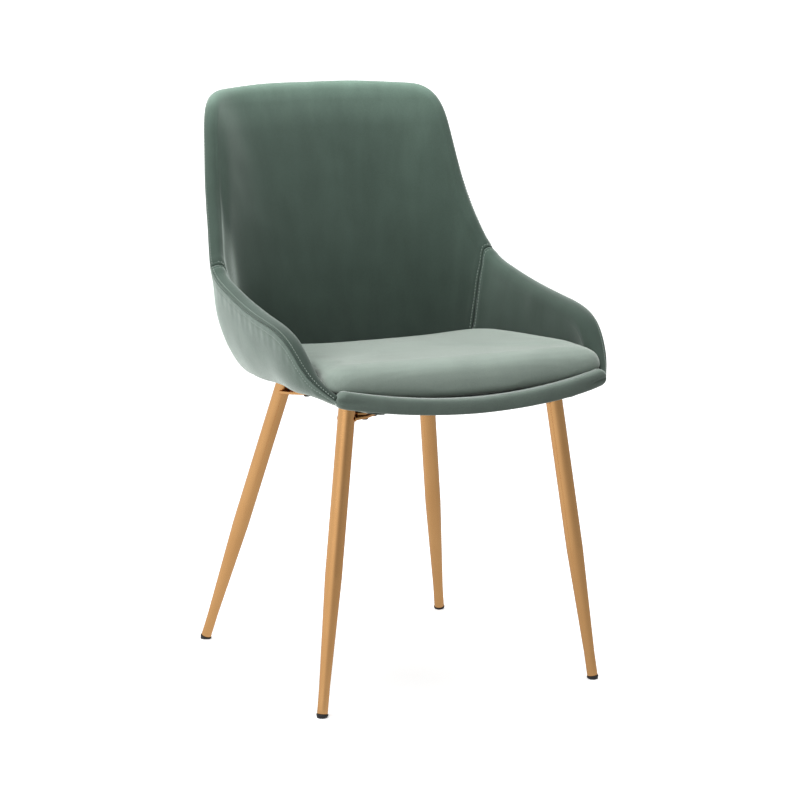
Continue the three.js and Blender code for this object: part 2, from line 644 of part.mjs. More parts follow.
add('shell_core', 'ply', shellCore(shellSteps));
add('outer_cover', 'velvet', outerCover(shellSteps));
add('back_foam', 'foam', wallFoam(back));
add('inner_back_cover', 'velvet', innerCover(back));
for (const [side, ts] of Object.entries(arms)) {
  add(`arm_foam_${side}`, 'foam', wallFoam(ts));
  add(`arm_cover_${side}`, 'velvet', innerCover(ts));
}
add('front_band', 'velvet', frontBand());
add('seat_cushion_board', 'ply', cushionBoard());
add('seat_cushion_foam', 'foam', cushionFoam());
add('seat_cushion_cover', 'velvet', cushionCover());
add('seat_board', 'ply', seatBoard());
add('dust_cover', 'black', dustCover());
for (const corner of corners) {
  add(`leg_plate_${corner.name}`, 'brass', legPlate(corner));
  add(`leg_spacer_${corner.name}`, 'brass', legSpacer(corner));
  add(`leg_${corner.name}`, 'brass', leg(corner));
  add(`glide_${corner.name}`, 'black', glide(corner));
  corner.bolts.forEach((at, i) => {
    add(`leg_bolt_${corner.name}_${i + 1}`, 'black', bolt(at));
    add(`t_nut_${corner.name}_${i + 1}`, 'steel', teeNut(at));
  });
}

export default chair;
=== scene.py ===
"""Looks of an upholstered dining chair: a padded velvet bucket shell, a loose seat cushion and four
splayed, tapered brass-coloured legs. Metres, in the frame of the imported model. Shapes that repeat
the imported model's are worked out in millimetres and scaled once, when a mesh is made."""
import json
import math

import bmesh
import bpy
import numpy as np
from mathutils import Matrix, Vector


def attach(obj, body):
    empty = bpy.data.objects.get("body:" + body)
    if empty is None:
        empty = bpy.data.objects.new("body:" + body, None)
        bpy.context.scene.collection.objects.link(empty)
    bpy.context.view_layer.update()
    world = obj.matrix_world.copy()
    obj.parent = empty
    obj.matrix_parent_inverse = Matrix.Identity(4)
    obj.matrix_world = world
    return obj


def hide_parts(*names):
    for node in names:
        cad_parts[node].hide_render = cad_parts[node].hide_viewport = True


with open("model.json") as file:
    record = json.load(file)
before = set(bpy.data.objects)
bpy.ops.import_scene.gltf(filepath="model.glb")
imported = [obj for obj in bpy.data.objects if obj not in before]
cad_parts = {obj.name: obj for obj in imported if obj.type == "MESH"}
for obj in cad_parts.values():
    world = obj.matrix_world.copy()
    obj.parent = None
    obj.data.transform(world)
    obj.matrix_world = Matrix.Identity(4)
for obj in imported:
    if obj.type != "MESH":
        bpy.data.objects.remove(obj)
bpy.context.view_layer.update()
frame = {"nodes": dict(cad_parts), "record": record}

MM = 0.001
TAU = 2 * math.pi
GREEN = (0.050, 0.0755, 0.061)

# ------------------------------------------------------------------ camera

def make_camera():
    azimuth, elevation, distance = math.radians(-26.547), math.radians(10.5), 4.3071
    target = Vector((0.018, 0.001, 0.4041))
    away = Vector((math.sin(azimuth) * math.cos(elevation), -math.cos(azimuth) * math.cos(elevation),
                   math.sin(elevation)))
    data = bpy.data.cameras.new("camera")
    data.sensor_width = 36
    data.lens = 127.58
    data.clip_end = 200
    camera = bpy.data.objects.new("camera", data)
    camera.location = target + away * distance
    camera.rotation_euler = (target - camera.location).to_track_quat("-Z", "Y").to_euler()
    bpy.context.scene.collection.objects.link(camera)
    bpy.context.scene.camera = camera

make_camera()

# ------------------------------------------------------------------ materials

class Nodes:
    """The node tree of a material or of the world, with short calls for the nodes that they share."""

    def __init__(self, owner):
        self.owner = bpy.data.materials.new(owner) if isinstance(owner, str) else owner
        self.owner.use_nodes = True
        self.tree = self.owner.node_tree
        self.shader = self.tree.nodes.get("Principled BSDF")

    def link(self, out, into):
        self.tree.links.new(out, into)

    def give(self, socket, value):
        """Links another node's output to a socket, or sets the socket's own value."""
        if isinstance(value, bpy.types.NodeSocket):
            self.link(value, socket)
        else:
            socket.default_value = value

    def add(self, kind, **inputs):
        node = self.tree.nodes.new(kind)
        for key, value in inputs.items():
            self.give(node.inputs[key.replace("_", " ")], value)
        return node

    def set(self, **values):
        for key, value in values.items():
            self.give(self.shader.inputs[key.replace("_", " ")], value)
        return self.owner

    def place(self, source="Object", **mapping):
        """A position on the object, or a direction of the world, scaled or turned by the mapping."""
        coordinate = self.add("ShaderNodeTexCoord").outputs[source]
        return self.add("ShaderNodeMapping", Vector=coordinate, **mapping).outputs["Vector"]

    def along(self, axis, source="Object", turn=0.0):
        """One coordinate of the position, after a turn about Z."""
        parts = self.add("ShaderNodeSeparateXYZ", Vector=self.place(source, Rotation=(0, 0, turn)))
        return parts.outputs[axis]

    def noise(self, scale, detail=2.0, stretch=(1, 1, 1)):
        place = self.place(Scale=stretch)
        return self.add("ShaderNodeTexNoise", Vector=place, Scale=scale, Detail=detail).outputs["Fac"]

    def ramp(self, factor, *stops):
        node = self.add("ShaderNodeValToRGB", Fac=factor)
        elements = node.color_ramp.elements
        while len(elements) < len(stops):
            elements.new(0.5)
        for element, (position, colour) in zip(elements, stops):
            element.position = position
            element.color = (*colour, 1)
        return node.outputs["Color"]

    def mix(self, factor, a, b, blend="MIX"):
        node = self.add("ShaderNodeMix")
        node.data_type = "RGBA"
        node.blend_type = blend
        for index, value in ((0, factor), (6, a), (7, b)):
            self.give(node.inputs[index], value)
        return node.outputs[2]

    def math(self, operation, *values):
        node = self.add("ShaderNodeMath")
        node.operation = operation
        for socket, value in zip(node.inputs, values):
            self.give(socket, value)
        return node.outputs[0]

    def bump(self, height, distance, strength=1.0, under=None):
        node = self.add("ShaderNodeBump", Height=height, Distance=distance, Strength=strength)
        if under is not None:
            self.link(under, node.inputs["Normal"])
        return node.outputs["Normal"]

    def by_ray(self, seen, thrown):
        """The camera sees one shader, and every other ray meets the other."""
        either = self.add("ShaderNodeMixShader")
        self.link(self.add("ShaderNodeLightPath").outputs["Is Camera Ray"], either.inputs[0])
        self.link(thrown, either.inputs[1])
        self.link(seen, either.inputs[2])
        output = next(node for node in self.tree.nodes if node.type.startswith("OUTPUT"))
        self.link(either.outputs[0], output.inputs["Surface"])

def scaled(colour, factor):
    return tuple(c * factor for c in colour)

SHEEN_TINT = (0.90, 1.0, 0.94)
# Painted shading by height, not a nap: colour and sheen are painted darker low down and lighter near the top.
# Each stop holds height in metres, level of the colour and level of the sheen.
PAINTED_SHADING_TALL = 0.9
PAINTED_SHADING_OF_BACK = [(0.47, 0.50, 0.46), (0.53, 0.70, 0.62), (0.60, 0.95, 0.90), (0.69, 1.12, 1.0),
               (0.80, 1.4, 1.0), (0.84, 2.0, 1.0), (0.865, 3.8, 1.0)]
PAINTED_SHADING_OF_ARM = [(0.46, 0.60, 0.55), (0.55, 0.85, 0.70), (0.63, 1.5, 0.95), (0.70, 2.0, 1.0)]

def velvet(name, colour, streaks=(38, 38, 6), painted_shading=None, tint=SHEEN_TINT):
    """Short pile: brushed patches and streaks in the colour, a fine pile in the bump, and a sheen.
    Where painted shading by height is given, it holds stops of height, colour level and sheen level. These
    paint the colour and sheen darker low down and lighter higher up."""
    n = Nodes(name)
    brushed = n.noise(1.0, 3.0, streaks)
    patches = n.noise(9.0, 2.0)
    pile = n.noise(1500.0, 2.0, (1, 1, 0.6))
    thread = n.noise(420.0, 1.0, (1, 1, 0.12))
    base = n.ramp(brushed, (0.30, scaled(colour, 0.86)), (0.50, colour), (0.72, scaled(colour, 1.16)))
    base = n.mix(0.35, base, n.ramp(patches, (0.32, scaled(colour, 0.78)), (0.70, scaled(colour, 1.22))))
    base = n.mix(0.25, base, n.ramp(pile, (0.35, scaled(colour, 0.55)), (0.65, scaled(colour, 1.4))))
    shine = (*tint, 1)
    # Painted shading: colour and sheen scaled by height, darker low down and lighter near the top.
    if painted_shading:
        share = n.math("MULTIPLY", n.along("Z"), 1 / PAINTED_SHADING_TALL)
        most = max(level for _, level, _ in painted_shading)
        levels = n.ramp(share, *((z / PAINTED_SHADING_TALL, (level / most,) * 3) for z, level, _ in painted_shading))
        base = n.mix(1.0, base, n.mix(1.0, levels, (most, most, most, 1), "MULTIPLY"), "MULTIPLY")
        shine = n.ramp(share, *((z / PAINTED_SHADING_TALL, scaled(tint, level)) for z, _, level in painted_shading))
    normal = n.bump(thread, 0.00012, 0.5)
    normal = n.bump(pile, 0.00022, 0.7, normal)
    rough = n.math("MULTIPLY_ADD", patches, 0.12, 0.80)
    return n.set(Base_Color=base, Roughness=rough, Normal=normal, Specular_IOR_Level=0.18,
                 Sheen_Weight=1.0, Sheen_Roughness=0.38, Sheen_Tint=shine)

def thread_finish(name, colour):
    n = Nodes(name)
    twist = n.noise(2200.0, 1.0, (1, 1, 0.4))
    base = n.ramp(twist, (0.35, scaled(colour, 0.75)), (0.65, scaled(colour, 1.3)))
    return n.set(Base_Color=base, Roughness=0.6, Normal=n.bump(twist, 0.0001, 0.6), Sheen_Weight=0.3)

def brass_finish(name):
    """Satin plating with fine lengthwise polishing marks and faint handling smudges."""
    n = Nodes(name)
    marks = n.noise(420.0, 2.0, (1, 1, 0.012))
    smudge = n.noise(11.0, 2.0)
    base = n.ramp(smudge, (0.3, (0.745, 0.400, 0.160)), (0.7, (0.80, 0.445, 0.185)))
    base = n.mix(0.06, base, n.ramp(marks, (0.3, (0.60, 0.34, 0.13)), (0.7, (0.86, 0.56, 0.27))))
    rough = n.math("MULTIPLY_ADD", marks, 0.06, 0.22)
    return n.set(Base_Color=base, Metallic=1.0, Roughness=rough, Normal=n.bump(marks, 0.00001, 0.2))

def plastic_finish(name):
    n = Nodes(name)
    grain = n.noise(900.0, 2.0)
    base = n.ramp(grain, (0.3, (0.010, 0.009, 0.011)), (0.7, (0.020, 0.018, 0.022)))
    return n.set(Base_Color=base, Roughness=0.48, Normal=n.bump(grain, 0.00006, 0.5))

def steel_finish(name, dark, light, roughness, metallic=1.0):
    n = Nodes(name)
    grain = n.noise(700.0, 3.0)
    base = n.ramp(grain, (0.3, dark), (0.7, light))
    return n.set(Base_Color=base, Metallic=metallic, Roughness=roughness, Normal=n.bump(grain, 0.00003, 0.5))

# The core shows beside the cushion, so in front of these two lines it takes the velvet's colour.
CORE_GREEN = (-0.02, 0.0)

def plywood_finish(name):
    n = Nodes(name)
    grain = n.noise(30.0, 4.0, (1, 9, 9))
    plies = n.noise(1.0, 1.0, (3, 3, 620))
    base = n.ramp(grain, (0.3, (0.36, 0.22, 0.11)), (0.55, (0.56, 0.38, 0.21)), (0.75, (0.66, 0.48, 0.29)))
    base = n.mix(0.4, base, n.ramp(plies, (0.45, (0.30, 0.17, 0.08)), (0.55, (0.70, 0.52, 0.32))))
    front = n.add("ShaderNodeMapRange", Value=n.along("Y"), From_Min=CORE_GREEN[0], From_Max=CORE_GREEN[1],
                  To_Min=1.0, To_Max=0.0)
    base = n.mix(front.outputs["Result"], base, (*scaled(GREEN, 0.8), 1))
    return n.set(Base_Color=base, Roughness=0.62, Normal=n.bump(grain, 0.0002, 0.5))

def foam_finish(name):
    n = Nodes(name)
    cells = n.noise(900.0, 3.0)
    base = n.ramp(cells, (0.35, (0.52, 0.46, 0.30)), (0.65, (0.78, 0.73, 0.56)))
    return n.set(Base_Color=base, Roughness=0.95, Normal=n.bump(cells, 0.0006, 1.0))

def dust_cloth_finish(name):
    """Black spun-bonded cloth: matted fibres with a faint emboss of dots."""
    n = Nodes(name)
    fibres = n.noise(1300.0, 4.0)
    dots = n.add("ShaderNodeTexVoronoi", Vector=n.place(), Scale=420.0)
    base = n.ramp(fibres, (0.35, (0.010, 0.010, 0.011)), (0.7, (0.030, 0.030, 0.033)))
    normal = n.bump(dots.outputs["Distance"], 0.0002, 0.5, n.bump(fibres, 0.0002, 0.6))
    return n.set(Base_Color=base, Roughness=0.85, Normal=normal)

velvet_shell = velvet("velvet_shell", GREEN)
# The back and arm padding get painted shading by height: colour and sheen painted darker low down and lighter
# near the top.
velvet_back = velvet("velvet_back", GREEN, painted_shading=PAINTED_SHADING_OF_BACK)
velvet_arm = velvet("velvet_arm", GREEN, painted_shading=PAINTED_SHADING_OF_ARM)
# The cushion, band and outer cover velvets below are lit copies of the same green velvet. They are painted
# light: their colours are painted about two to five times brighter than GREEN where the lamps fall on them,
# and the cushion's sheen tint is set lower to match.
velvet_cushion = velvet("velvet_cushion", (0.240, 0.293, 0.257), streaks=(14, 5, 14),
                        tint=(0.72, 0.76, 0.72))
velvet_band = velvet("velvet_band", (0.115, 0.150, 0.128), streaks=(30, 10, 30))
velvet_outside = velvet("velvet_outside", (0.128, 0.172, 0.146), streaks=(10, 10, 30))
stitch_thread = thread_finish("stitch_thread", (0.29, 0.35, 0.31))
brass = brass_finish("brass")
black_plastic = plastic_finish("black_plastic")
black_steel = steel_finish("black_steel", (0.012, 0.012, 0.013), (0.03, 0.03, 0.032), 0.45, 0.6)
zinc_steel = steel_finish("zinc_steel", (0.50, 0.50, 0.51), (0.68, 0.68, 0.69), 0.35)
plywood = plywood_finish("plywood")
foam = foam_finish("foam")
dust_cloth = dust_cloth_finish("dust_cloth")

FINISH_OF_SLOT = {
    "velvet": velvet_shell, "foam": foam, "plywood": plywood, "dust_cloth": dust_cloth, "brass": brass,
    "black_plastic": black_plastic, "black_steel": black_steel, "zinc_steel": zinc_steel,
}
for part in frame["record"]["subparts"]:
    node = frame["nodes"][part["node"]]
    for material_slot in node.material_slots:
        material_slot.material = FINISH_OF_SLOT[part["material_slot"]]

# ------------------------------------------------------------------ making pieces

def smooth(mesh):
    for polygon in mesh.polygons:
        polygon.use_smooth = True

def piece(name, mesh, finish, replaced=()):
    obj = bpy.data.objects.new(name, mesh)
    bpy.context.scene.collection.objects.link(obj)
    mesh.materials.append(finish)
    smooth(mesh)
    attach(obj, "root")
    if replaced:
        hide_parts(*replaced)
    return obj

def hard_piece(name, mesh, finish, replaced, degrees=30):
    """A piece that keeps its edges sharp where faces meet at more than these degrees."""
    obj = piece(name, mesh, finish, replaced)
    obj.data.set_sharp_from_angle(angle=math.radians(degrees))

def thicken(obj, thickness, offset):
    """Gives a sheet its thickness in millimetres: inside (-1), about (0) or outside (1) its surface."""
    solidify = obj.modifiers.new("thickness", "SOLIDIFY")
    solidify.thickness = thickness * MM
    solidify.offset = offset

def mesh_of(name, points, faces, merged=True):
    mesh = bpy.data.meshes.new(name)
    mesh.from_pydata([tuple(p) for p in np.asarray(points) * MM], [], faces)
    mesh.update()
    work = bmesh.new()
    work.from_mesh(mesh)
    if merged:
        bmesh.ops.remove_doubles(work, verts=work.verts, dist=1e-6)
    bmesh.ops.recalc_face_normals(work, faces=work.faces)
    work.to_mesh(mesh)
    work.free()
    return mesh

def grid_faces(rows, columns, closed_columns=False, start=0):
    faces = []
    for i in range(rows - 1):
        a, b = start + i * columns, start + (i + 1) * columns
        for j in range(columns if closed_columns else columns - 1):
            k = (j + 1) % columns
            faces.append((a + j, a + k, b + k, b + j))
    return faces

def velvet_sheet(name, grid, finish, replaced, thickness, offset):
    """A thin cover from a grid of points."""
    mesh = mesh_of(name, grid.reshape(-1, 3), grid_faces(*grid.shape[:2]))
    thicken(piece(name, mesh, finish, replaced), thickness, offset)

def loop_solid(name, grid):
    """A closed solid from a row of closed loops. Each loop goes down one side and up the other."""
    rows, columns, _ = grid.shape
    faces = grid_faces(rows, columns, closed_columns=True)
    for first in (0, (rows - 1) * columns):
        for j in range(columns // 2 - 1):
            faces.append((first + j, first + j + 1, first + columns - 2 - j, first + columns - 1 - j))
    return mesh_of(name, grid.reshape(-1, 3), faces)

def ring_solid(name, rings, first_point, last_point):
    """A closed solid from stacked rings, ending on a point at each end."""
    rings = np.asarray(rings)
    rows, columns, _ = rings.shape
    faces = grid_faces(rows, columns, closed_columns=True)
    first, last = rows * columns, rows * columns + 1
    for j in range(columns):
        k = (j + 1) % columns
        faces.append((first, k, j))
        faces.append((last, (rows - 1) * columns + j, (rows - 1) * columns + k))
    return mesh_of(name, np.vstack([rings.reshape(-1, 3), first_point, last_point]), faces)

def turned(profile, segments=40, hexagon=()):
    """Rings of a lathe about Z, from (radius, height) pairs. Rings listed in hexagon are six-sided."""
    angles = np.arange(segments) * TAU / segments
    rings = []
    for i, (radius, height) in enumerate(profile):
        reach = np.full(segments, float(radius))
        if i in hexagon:
            reach = radius / np.cos((angles + math.pi / 6) % (math.pi / 3) - math.pi / 6)
        rings.append(np.stack([reach * np.cos(angles), reach * np.sin(angles), np.full(segments, height)], 1))
    return np.array(rings)

def placed(points, matrix):
    rotation = np.array(matrix.to_3x3())
    return np.asarray(points).reshape(-1, 3) @ rotation.T + np.array(matrix.translation)

def resampled(points, spacing):
    """Points at an even spacing along a polyline."""
    steps = np.linalg.norm(np.diff(points, axis=0), axis=1)
    along = np.concatenate([[0], np.cumsum(steps)])
    wanted = np.arange(spacing / 2, along[-1], spacing)
    return np.stack([np.interp(wanted, along, points[:, k]) for k in range(3)], 1)

def stitches(name, rows, pitch=4.9, length=2.6, radius=0.5):
    """Rows of stitches, each a short thread that dives into the cloth at both ends. rows holds pairs
    of a line on the cloth and the cloth's outward direction along it."""
    points, faces = [], []
    sides = 6
    shape = [(-0.5, -0.9, 0.5), (-0.38, 0.1, 0.95), (0.0, 0.55, 1.0), (0.38, 0.1, 0.95), (0.5, -0.9, 0.5)]
    for line, outward in rows:
        dense = resampled(line, pitch / 8)
        normals = np.stack([np.interp(np.linspace(0, 1, len(dense)), np.linspace(0, 1, len(outward)),
                                      outward[:, k]) for k in range(3)], 1)
        for i in range(4, len(dense) - 4, 8):
            forward = dense[i + 3] - dense[i - 3]
            forward /= np.linalg.norm(forward)
            up = normals[i] - forward * (normals[i] @ forward)
            up /= np.linalg.norm(up)
            side = np.cross(forward, up)
            first = len(points)
            for along, lift, thick in shape:
                centre = dense[i] + forward * along * length + up * lift * radius
                for a in np.arange(sides) * TAU / sides:
                    points.append(centre + (side * math.cos(a) + up * math.sin(a)) * radius * thick)
            faces += grid_faces(len(shape), sides, closed_columns=True, start=first)
            faces.append(tuple(range(first, first + sides)))
            last = first + (len(shape) - 1) * sides
            faces.append(tuple(range(last, last + sides)))
    piece(name, mesh_of(name, points, faces, merged=False), stitch_thread)

# ------------------------------------------------------------------ the shell's surface

# Rim seam, base line, and the rounding's width and height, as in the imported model.
STATIONS = [
    (218, -273, 466, 214, -271, 458, 6, 8), (243, -229, 497, 246, -229, 464, 28, 60),
    (253, -185, 535, 263, -178, 463, 40, 95), (255, -99, 557, 260, -95, 459, 50, 120),
    (252, -18, 568, 250, -9, 453, 50, 120), (247, 59, 584, 236, 67, 448, 50, 120),
    (241, 119, 608, 221, 121, 443, 50, 120), (230, 155, 655, 203, 155, 440, 50, 120),
    (220, 188, 717, 179, 176, 437, 50, 120), (211, 211, 780, 155, 187, 434, 50, 120),
    (200, 233, 834, 129, 194, 433, 50, 120), (183, 253, 852, 102, 198, 432, 50, 120),
    (156, 272, 856, 77, 199, 431, 50, 120), (81, 292, 860, 44, 201, 430, 50, 120),
    (0, 301, 860, 0, 201, 430, 50, 120),
]
ARM_START = 0.004
THIN_END, THIN_SHARE = 0.10, 0.36        # the arm padding thins towards its front end
LOW_WALL = 30
ARM_END = 0.517
INNER_TUCK = 0.45
TURN_UNDER, SPINE_END, FRONT_BOW, BOW_END = 0.28, 70, 20, 0.14
BAND_POWER, BAND_RISE = 3.7, 1.8

def floor_height(y):
    return 429.3 - 0.05 * y

def natural_spline(knots, rows):
    count = len(knots)
    gaps = np.diff(knots)
    slopes = np.diff(rows, axis=0) / gaps[:, None]
    system = np.eye(count)
    right = np.zeros_like(rows)
    for i in range(1, count - 1):
        system[i, i - 1:i + 2] = gaps[i - 1], 2 * (gaps[i - 1] + gaps[i]), gaps[i]
        right[i] = 6 * (slopes[i] - slopes[i - 1])
    bends = np.linalg.solve(system, right)

    def at(t):
        t = np.asarray(t, float)
        i = np.clip(np.searchsorted(knots, t) - 1, 0, count - 2)
        h = gaps[i][..., None]
        a = (knots[i + 1] - t)[..., None] / h
        b = 1 - a
        return (a * rows[i] + b * rows[i + 1]
                + ((a ** 3 - a) * bends[i] + (b ** 3 - b) * bends[i + 1]) * h * h / 6)
    return at

def shell_stations():
    half = np.array(STATIONS, float)
    moves = np.diff(half, axis=0)
    steps = np.linalg.norm(moves[:, :3], axis=1) + 0.6 * np.linalg.norm(moves[:, 3:6], axis=1)
    knots = np.concatenate([[0], np.cumsum(steps)]) / steps.sum()
    other = half[-2::-1] * np.array([-1, 1, 1, -1, 1, 1, 1, 1])
    return natural_spline(np.concatenate([knots, 2 - knots[-2::-1]]), np.vstack([half, other]))

station = shell_stations()

def unit(v):
    return v / np.linalg.norm(v, axis=-1, keepdims=True)

def wall_height(t):
    s = station(t)
    return np.linalg.norm(s[..., :3] - s[..., 3:6], axis=-1)

def wall(t, h, tuck_share=1.0):
    t, h = np.broadcast_arrays(np.asarray(t, float), np.asarray(h, float))
    s, before, later = station(t), station(t - 1e-3), station(t + 1e-3)
    rim, base = s[..., :3], s[..., 3:6]
    inward = unit(np.stack([before[..., 4] - later[..., 4], later[..., 3] - before[..., 3],
                            np.zeros_like(t)], -1))
    tall = np.linalg.norm(rim - base, axis=-1)
    q = np.clip(1 - h * tall / np.minimum(s[..., 7], tall), 0, 1)
    tuck = s[..., 6] * tuck_share * (1 - np.sqrt(1 - q * q))
    return base + (rim - base) * h[..., None] + inward * tuck[..., None]

def layer(t, h, depth, tuck_share=1.0):
    e = 1e-3
    t, h = np.broadcast_arrays(np.asarray(t, float), np.asarray(h, float))
    low = np.maximum(h, 2e-3)
    along = wall(t + e, low, tuck_share) - wall(t - e, low, tuck_share)
    up = wall(t, low + e, tuck_share) - wall(t, low, tuck_share)
    return wall(t, h, tuck_share) + unit(np.cross(up, along)) * np.asarray(depth, float)[..., None]

def thinned(t):
    k = np.clip(np.minimum(t, 2 - t) / THIN_END, 0, 1)
    return THIN_SHARE + (1 - THIN_SHARE) * k * k * (3 - 2 * k)

def rim_share(t):
    return np.clip(wall_height(t) / LOW_WALL, 0, 1)

def rim_point(t, depth, height, tuck_share=INNER_TUCK):
    t, depth, height = np.broadcast_arrays(*(np.asarray(a, float) for a in (t, depth, height)))
    e = 1e-3
    below = layer(t, 1 + np.minimum(height, 0) * rim_share(t) / wall_height(t), depth, tuck_share)
    along = unit(wall(t + e, 1.0) - wall(t - e, 1.0))
    up = wall(t, 1.0) - wall(t, 0.99)
    up = unit(up - along * np.sum(up * along, -1, keepdims=True))
    above = wall(t, 1.0) + up * height[..., None] + np.cross(up, along) * depth[..., None]
    return np.where((height < 0)[..., None], below, above)

def floor_point(t, share, depth=0.0):
    t, share = np.broadcast_arrays(np.asarray(t, float), np.asarray(share, float))
    foot = wall(t, 0.0)
    bow = FRONT_BOW * np.clip(1 - np.minimum(t, 2 - t) / BOW_END, 0, 1)
    y = foot[..., 1] + (np.minimum(foot[..., 1], SPINE_END) - foot[..., 1]) * share
    y = y - bow * (1 - (1 - share) ** BAND_POWER)
    k = np.clip(share / TURN_UNDER, 0, 1)
    level = foot[..., 2] + (floor_height(y) - foot[..., 2]) * k * k * (3 - 2 * k)
    return np.stack([foot[..., 0] * (1 - share), y, level + depth], -1)

def smooth_line(points, count):
    """A smooth line through rows of numbers, evenly spaced by chord length."""
    points = np.array(points, float)
    chords = np.concatenate([[0], np.cumsum(np.linalg.norm(np.diff(points, axis=0), axis=1))])
    return natural_spline(chords, points)(np.linspace(0, chords[-1], count))

def grid_normals(grid):
    return unit(np.cross(np.gradient(grid, axis=0), np.gradient(grid, axis=1)))

def soft_noise(points, wavelength, seed, waves=9):
    """Smooth unevenness between about -1 and 1, as a sum of waves in random directions."""
    source = np.random.default_rng(seed)
    total = np.zeros(points.shape[:-1])
    for _ in range(waves):
        direction = unit(source.normal(size=3)) * TAU / (wavelength * source.uniform(0.7, 1.6))
        total += np.sin(points @ direction + source.uniform(0, TAU))
    return total / math.sqrt(waves) / 1.2

def ridge(distance, height, at, wide):
    """A smooth ridge: its height at a distance from an edge."""
    return height * np.exp(-((distance - at) / wide) ** 2)

# ------------------------------------------------------------------ padded back and arms

# The padded rim in section, from inside the seam's groove, over the top and down the inner face:
# depth inwards from the seam, and height above it.
RIM_PROFILE = [
    (2.8, -1.2), (1.3, -1), (0.3, -0.25), (0.3, 0.9), (1.3, 2.1), (3, 3.4), (5.3, 4.6), (7.5, 5.4),
    (9.7, 5.8), (11.9, 5.8), (14.1, 5.4), (16.3, 4.4), (18.3, 2.6), (19.9, 0.4), (21.1, -2.4), (22, -5.6),
    (22.6, -9.6), (23, -14),
]
RIM_DEEP, PAD_FOOT = 14, 7              # the rim's section ends here, and the pad above the base line
SOFT_FROM = 0.32                        # along the arms from here, the rim softens towards the back
PAD_BACK = 11.2
PAD_FACE = 31.0
RIM_FALL, RIM_REACH = 8.0, 34.0         # the face draws back by this much at the rim, over this length
SEAM_ROUND = 3.2
SEAM_LEAN, SEAM_LEAN_REACH = 0.020, 0.16    # how far the seam leans down the face, in stations

def pad_grid(ts, seams, seed, rows=58):
    """Loops of a padded piece at each t: rim, inner face, foot, and back. seams are the stations
    where it meets its neighbour, and its edge rolls under there."""
    rim = np.vstack([RIM_PROFILE[:3], smooth_line(RIM_PROFILE[2:], 26)[1:]])
    t = ts[:, None]
    face_heights = np.linspace(0, 1, rows)[1:] ** 0.9

    def loops(t):
        tall = wall_height(t)
        top = 1 - RIM_DEEP * rim_share(t) / tall
        foot = np.minimum(PAD_FOOT / tall, 0.5 * top)
        h = top + (foot - top) * face_heights[None, :]
        seam_share = np.clip(1 - abs(abs(t - 1) - (1 - ARM_END)) / SEAM_LEAN_REACH, 0, 1)
        lean = SEAM_LEAN * (1 - (h - foot) / (1 - foot)) * seam_share
        leaned = t - np.sign(1 - t) * lean
        thin = thinned(t)
        soft = np.clip((np.minimum(t, 2 - t) - SOFT_FROM) / (ARM_END - SOFT_FROM), 0, 1)
        wide = 1 + (PAD_FACE / (PAD_FACE - RIM_FALL) - 1) * (1 - soft)
        over = rim_point(t, rim[None, :, 0] * thin * wide, rim[None, :, 1] * (0.4 + 0.6 * thin))
        fall = RIM_FALL * soft * np.exp(-((top - h) * tall / RIM_REACH) ** 1.5)
        face = layer(leaned, h, (PAD_FACE - fall) * thin, INNER_TUCK)
        down = np.concatenate([over, face], 1)
        count = down.shape[1]
        back_top = 1 - np.minimum(4 / tall, 0.3)
        back_h = back_top + (np.minimum(8 / tall, 0.4) - back_top) * np.linspace(0, 1, count)
        up = layer(t, back_h, PAD_BACK * thin ** 0.4)[:, ::-1]
        up[:, -2:] = rim_point(t, np.array([[PAD_BACK, 6.0]]) * thin ** 0.4, np.array([[0.2, -1.6]]))
        return np.concatenate([down, up], 1), count

    grid, count = loops(t)
    outside = grid[:, :count]
    normals = grid_normals(grid)[:, :count]
    middle = outside[:, count // 2].mean(0)
    inward = np.array([0, -40.0, 620.0]) - middle
    if np.mean(normals[:, count // 2] @ inward) < 0:
        normals = -normals
    sink = np.zeros(outside.shape[:2])
    for seam in seams:
        edge = loops(np.array([[seam]]))[0][:, :count]
        near = np.linalg.norm(outside - edge, axis=-1)
        r = np.clip(SEAM_ROUND - near, 0, SEAM_ROUND)
        sink += SEAM_ROUND - np.sqrt(SEAM_ROUND ** 2 - r ** 2)
        sink += ridge(near, 0.55, 5.0, 1.3) - ridge(near, 0.5, 12.0, 5.0)
    uneven = soft_noise(outside, 130, seed) * 0.7 + soft_noise(outside, 45, seed + 1) * 0.22
    settle = np.clip((np.arange(count) - 8) / 20, 0, 1)[None, :]
    grid[:, :count] = outside - normals * (sink - uneven * settle)[..., None]
    return grid, normals, count

def even_steps(start, end, count, gather=0.0):
    """Stations from start to end, gathered towards both ends."""
    u = np.linspace(0, 1, count)
    return start + (end - start) * (u + gather * (-np.sin(TAU * u)) / TAU)

SEAM_GAP = 0.0007
pads = {
    "back": pad_grid(even_steps(ARM_END + SEAM_GAP, 2 - ARM_END - SEAM_GAP, 240, 0.75),
                     (ARM_END, 2 - ARM_END), 11),
    "arm_right": pad_grid(even_steps(ARM_START, ARM_END - SEAM_GAP, 150, 0.6), (ARM_END,), 21),
    "arm_left": pad_grid(even_steps(2 - ARM_END + SEAM_GAP, 2 - ARM_START, 150, 0.6), (2 - ARM_END,), 31),
}
COVERS = {
    "back": ("back_padding", ("inner_back_cover", "back_foam")),
    "arm_right": ("arm_padding_right", ("arm_cover_right", "arm_foam_right")),
    "arm_left": ("arm_padding_left", ("arm_cover_left", "arm_foam_left")),
}
for key, (name, replaced) in COVERS.items():
    padding = piece(name, loop_solid(name, pads[key][0]),
                    velvet_back if key == "back" else velvet_arm, replaced)

# ------------------------------------------------------------------ outer cover

# The outer cover's top edge in section, from inside the groove to the flat of the wall.
EDGE_PROFILE = [(2.8, -1.9), (1.3, -1.9), (0.3, -2.5), (-0.15, -3.8), (-0.1, -6), (0, -9)]
EDGE_DEEP = 9
FAR_BELOW = 999.0                       # stands for the distance of the underside from the rim

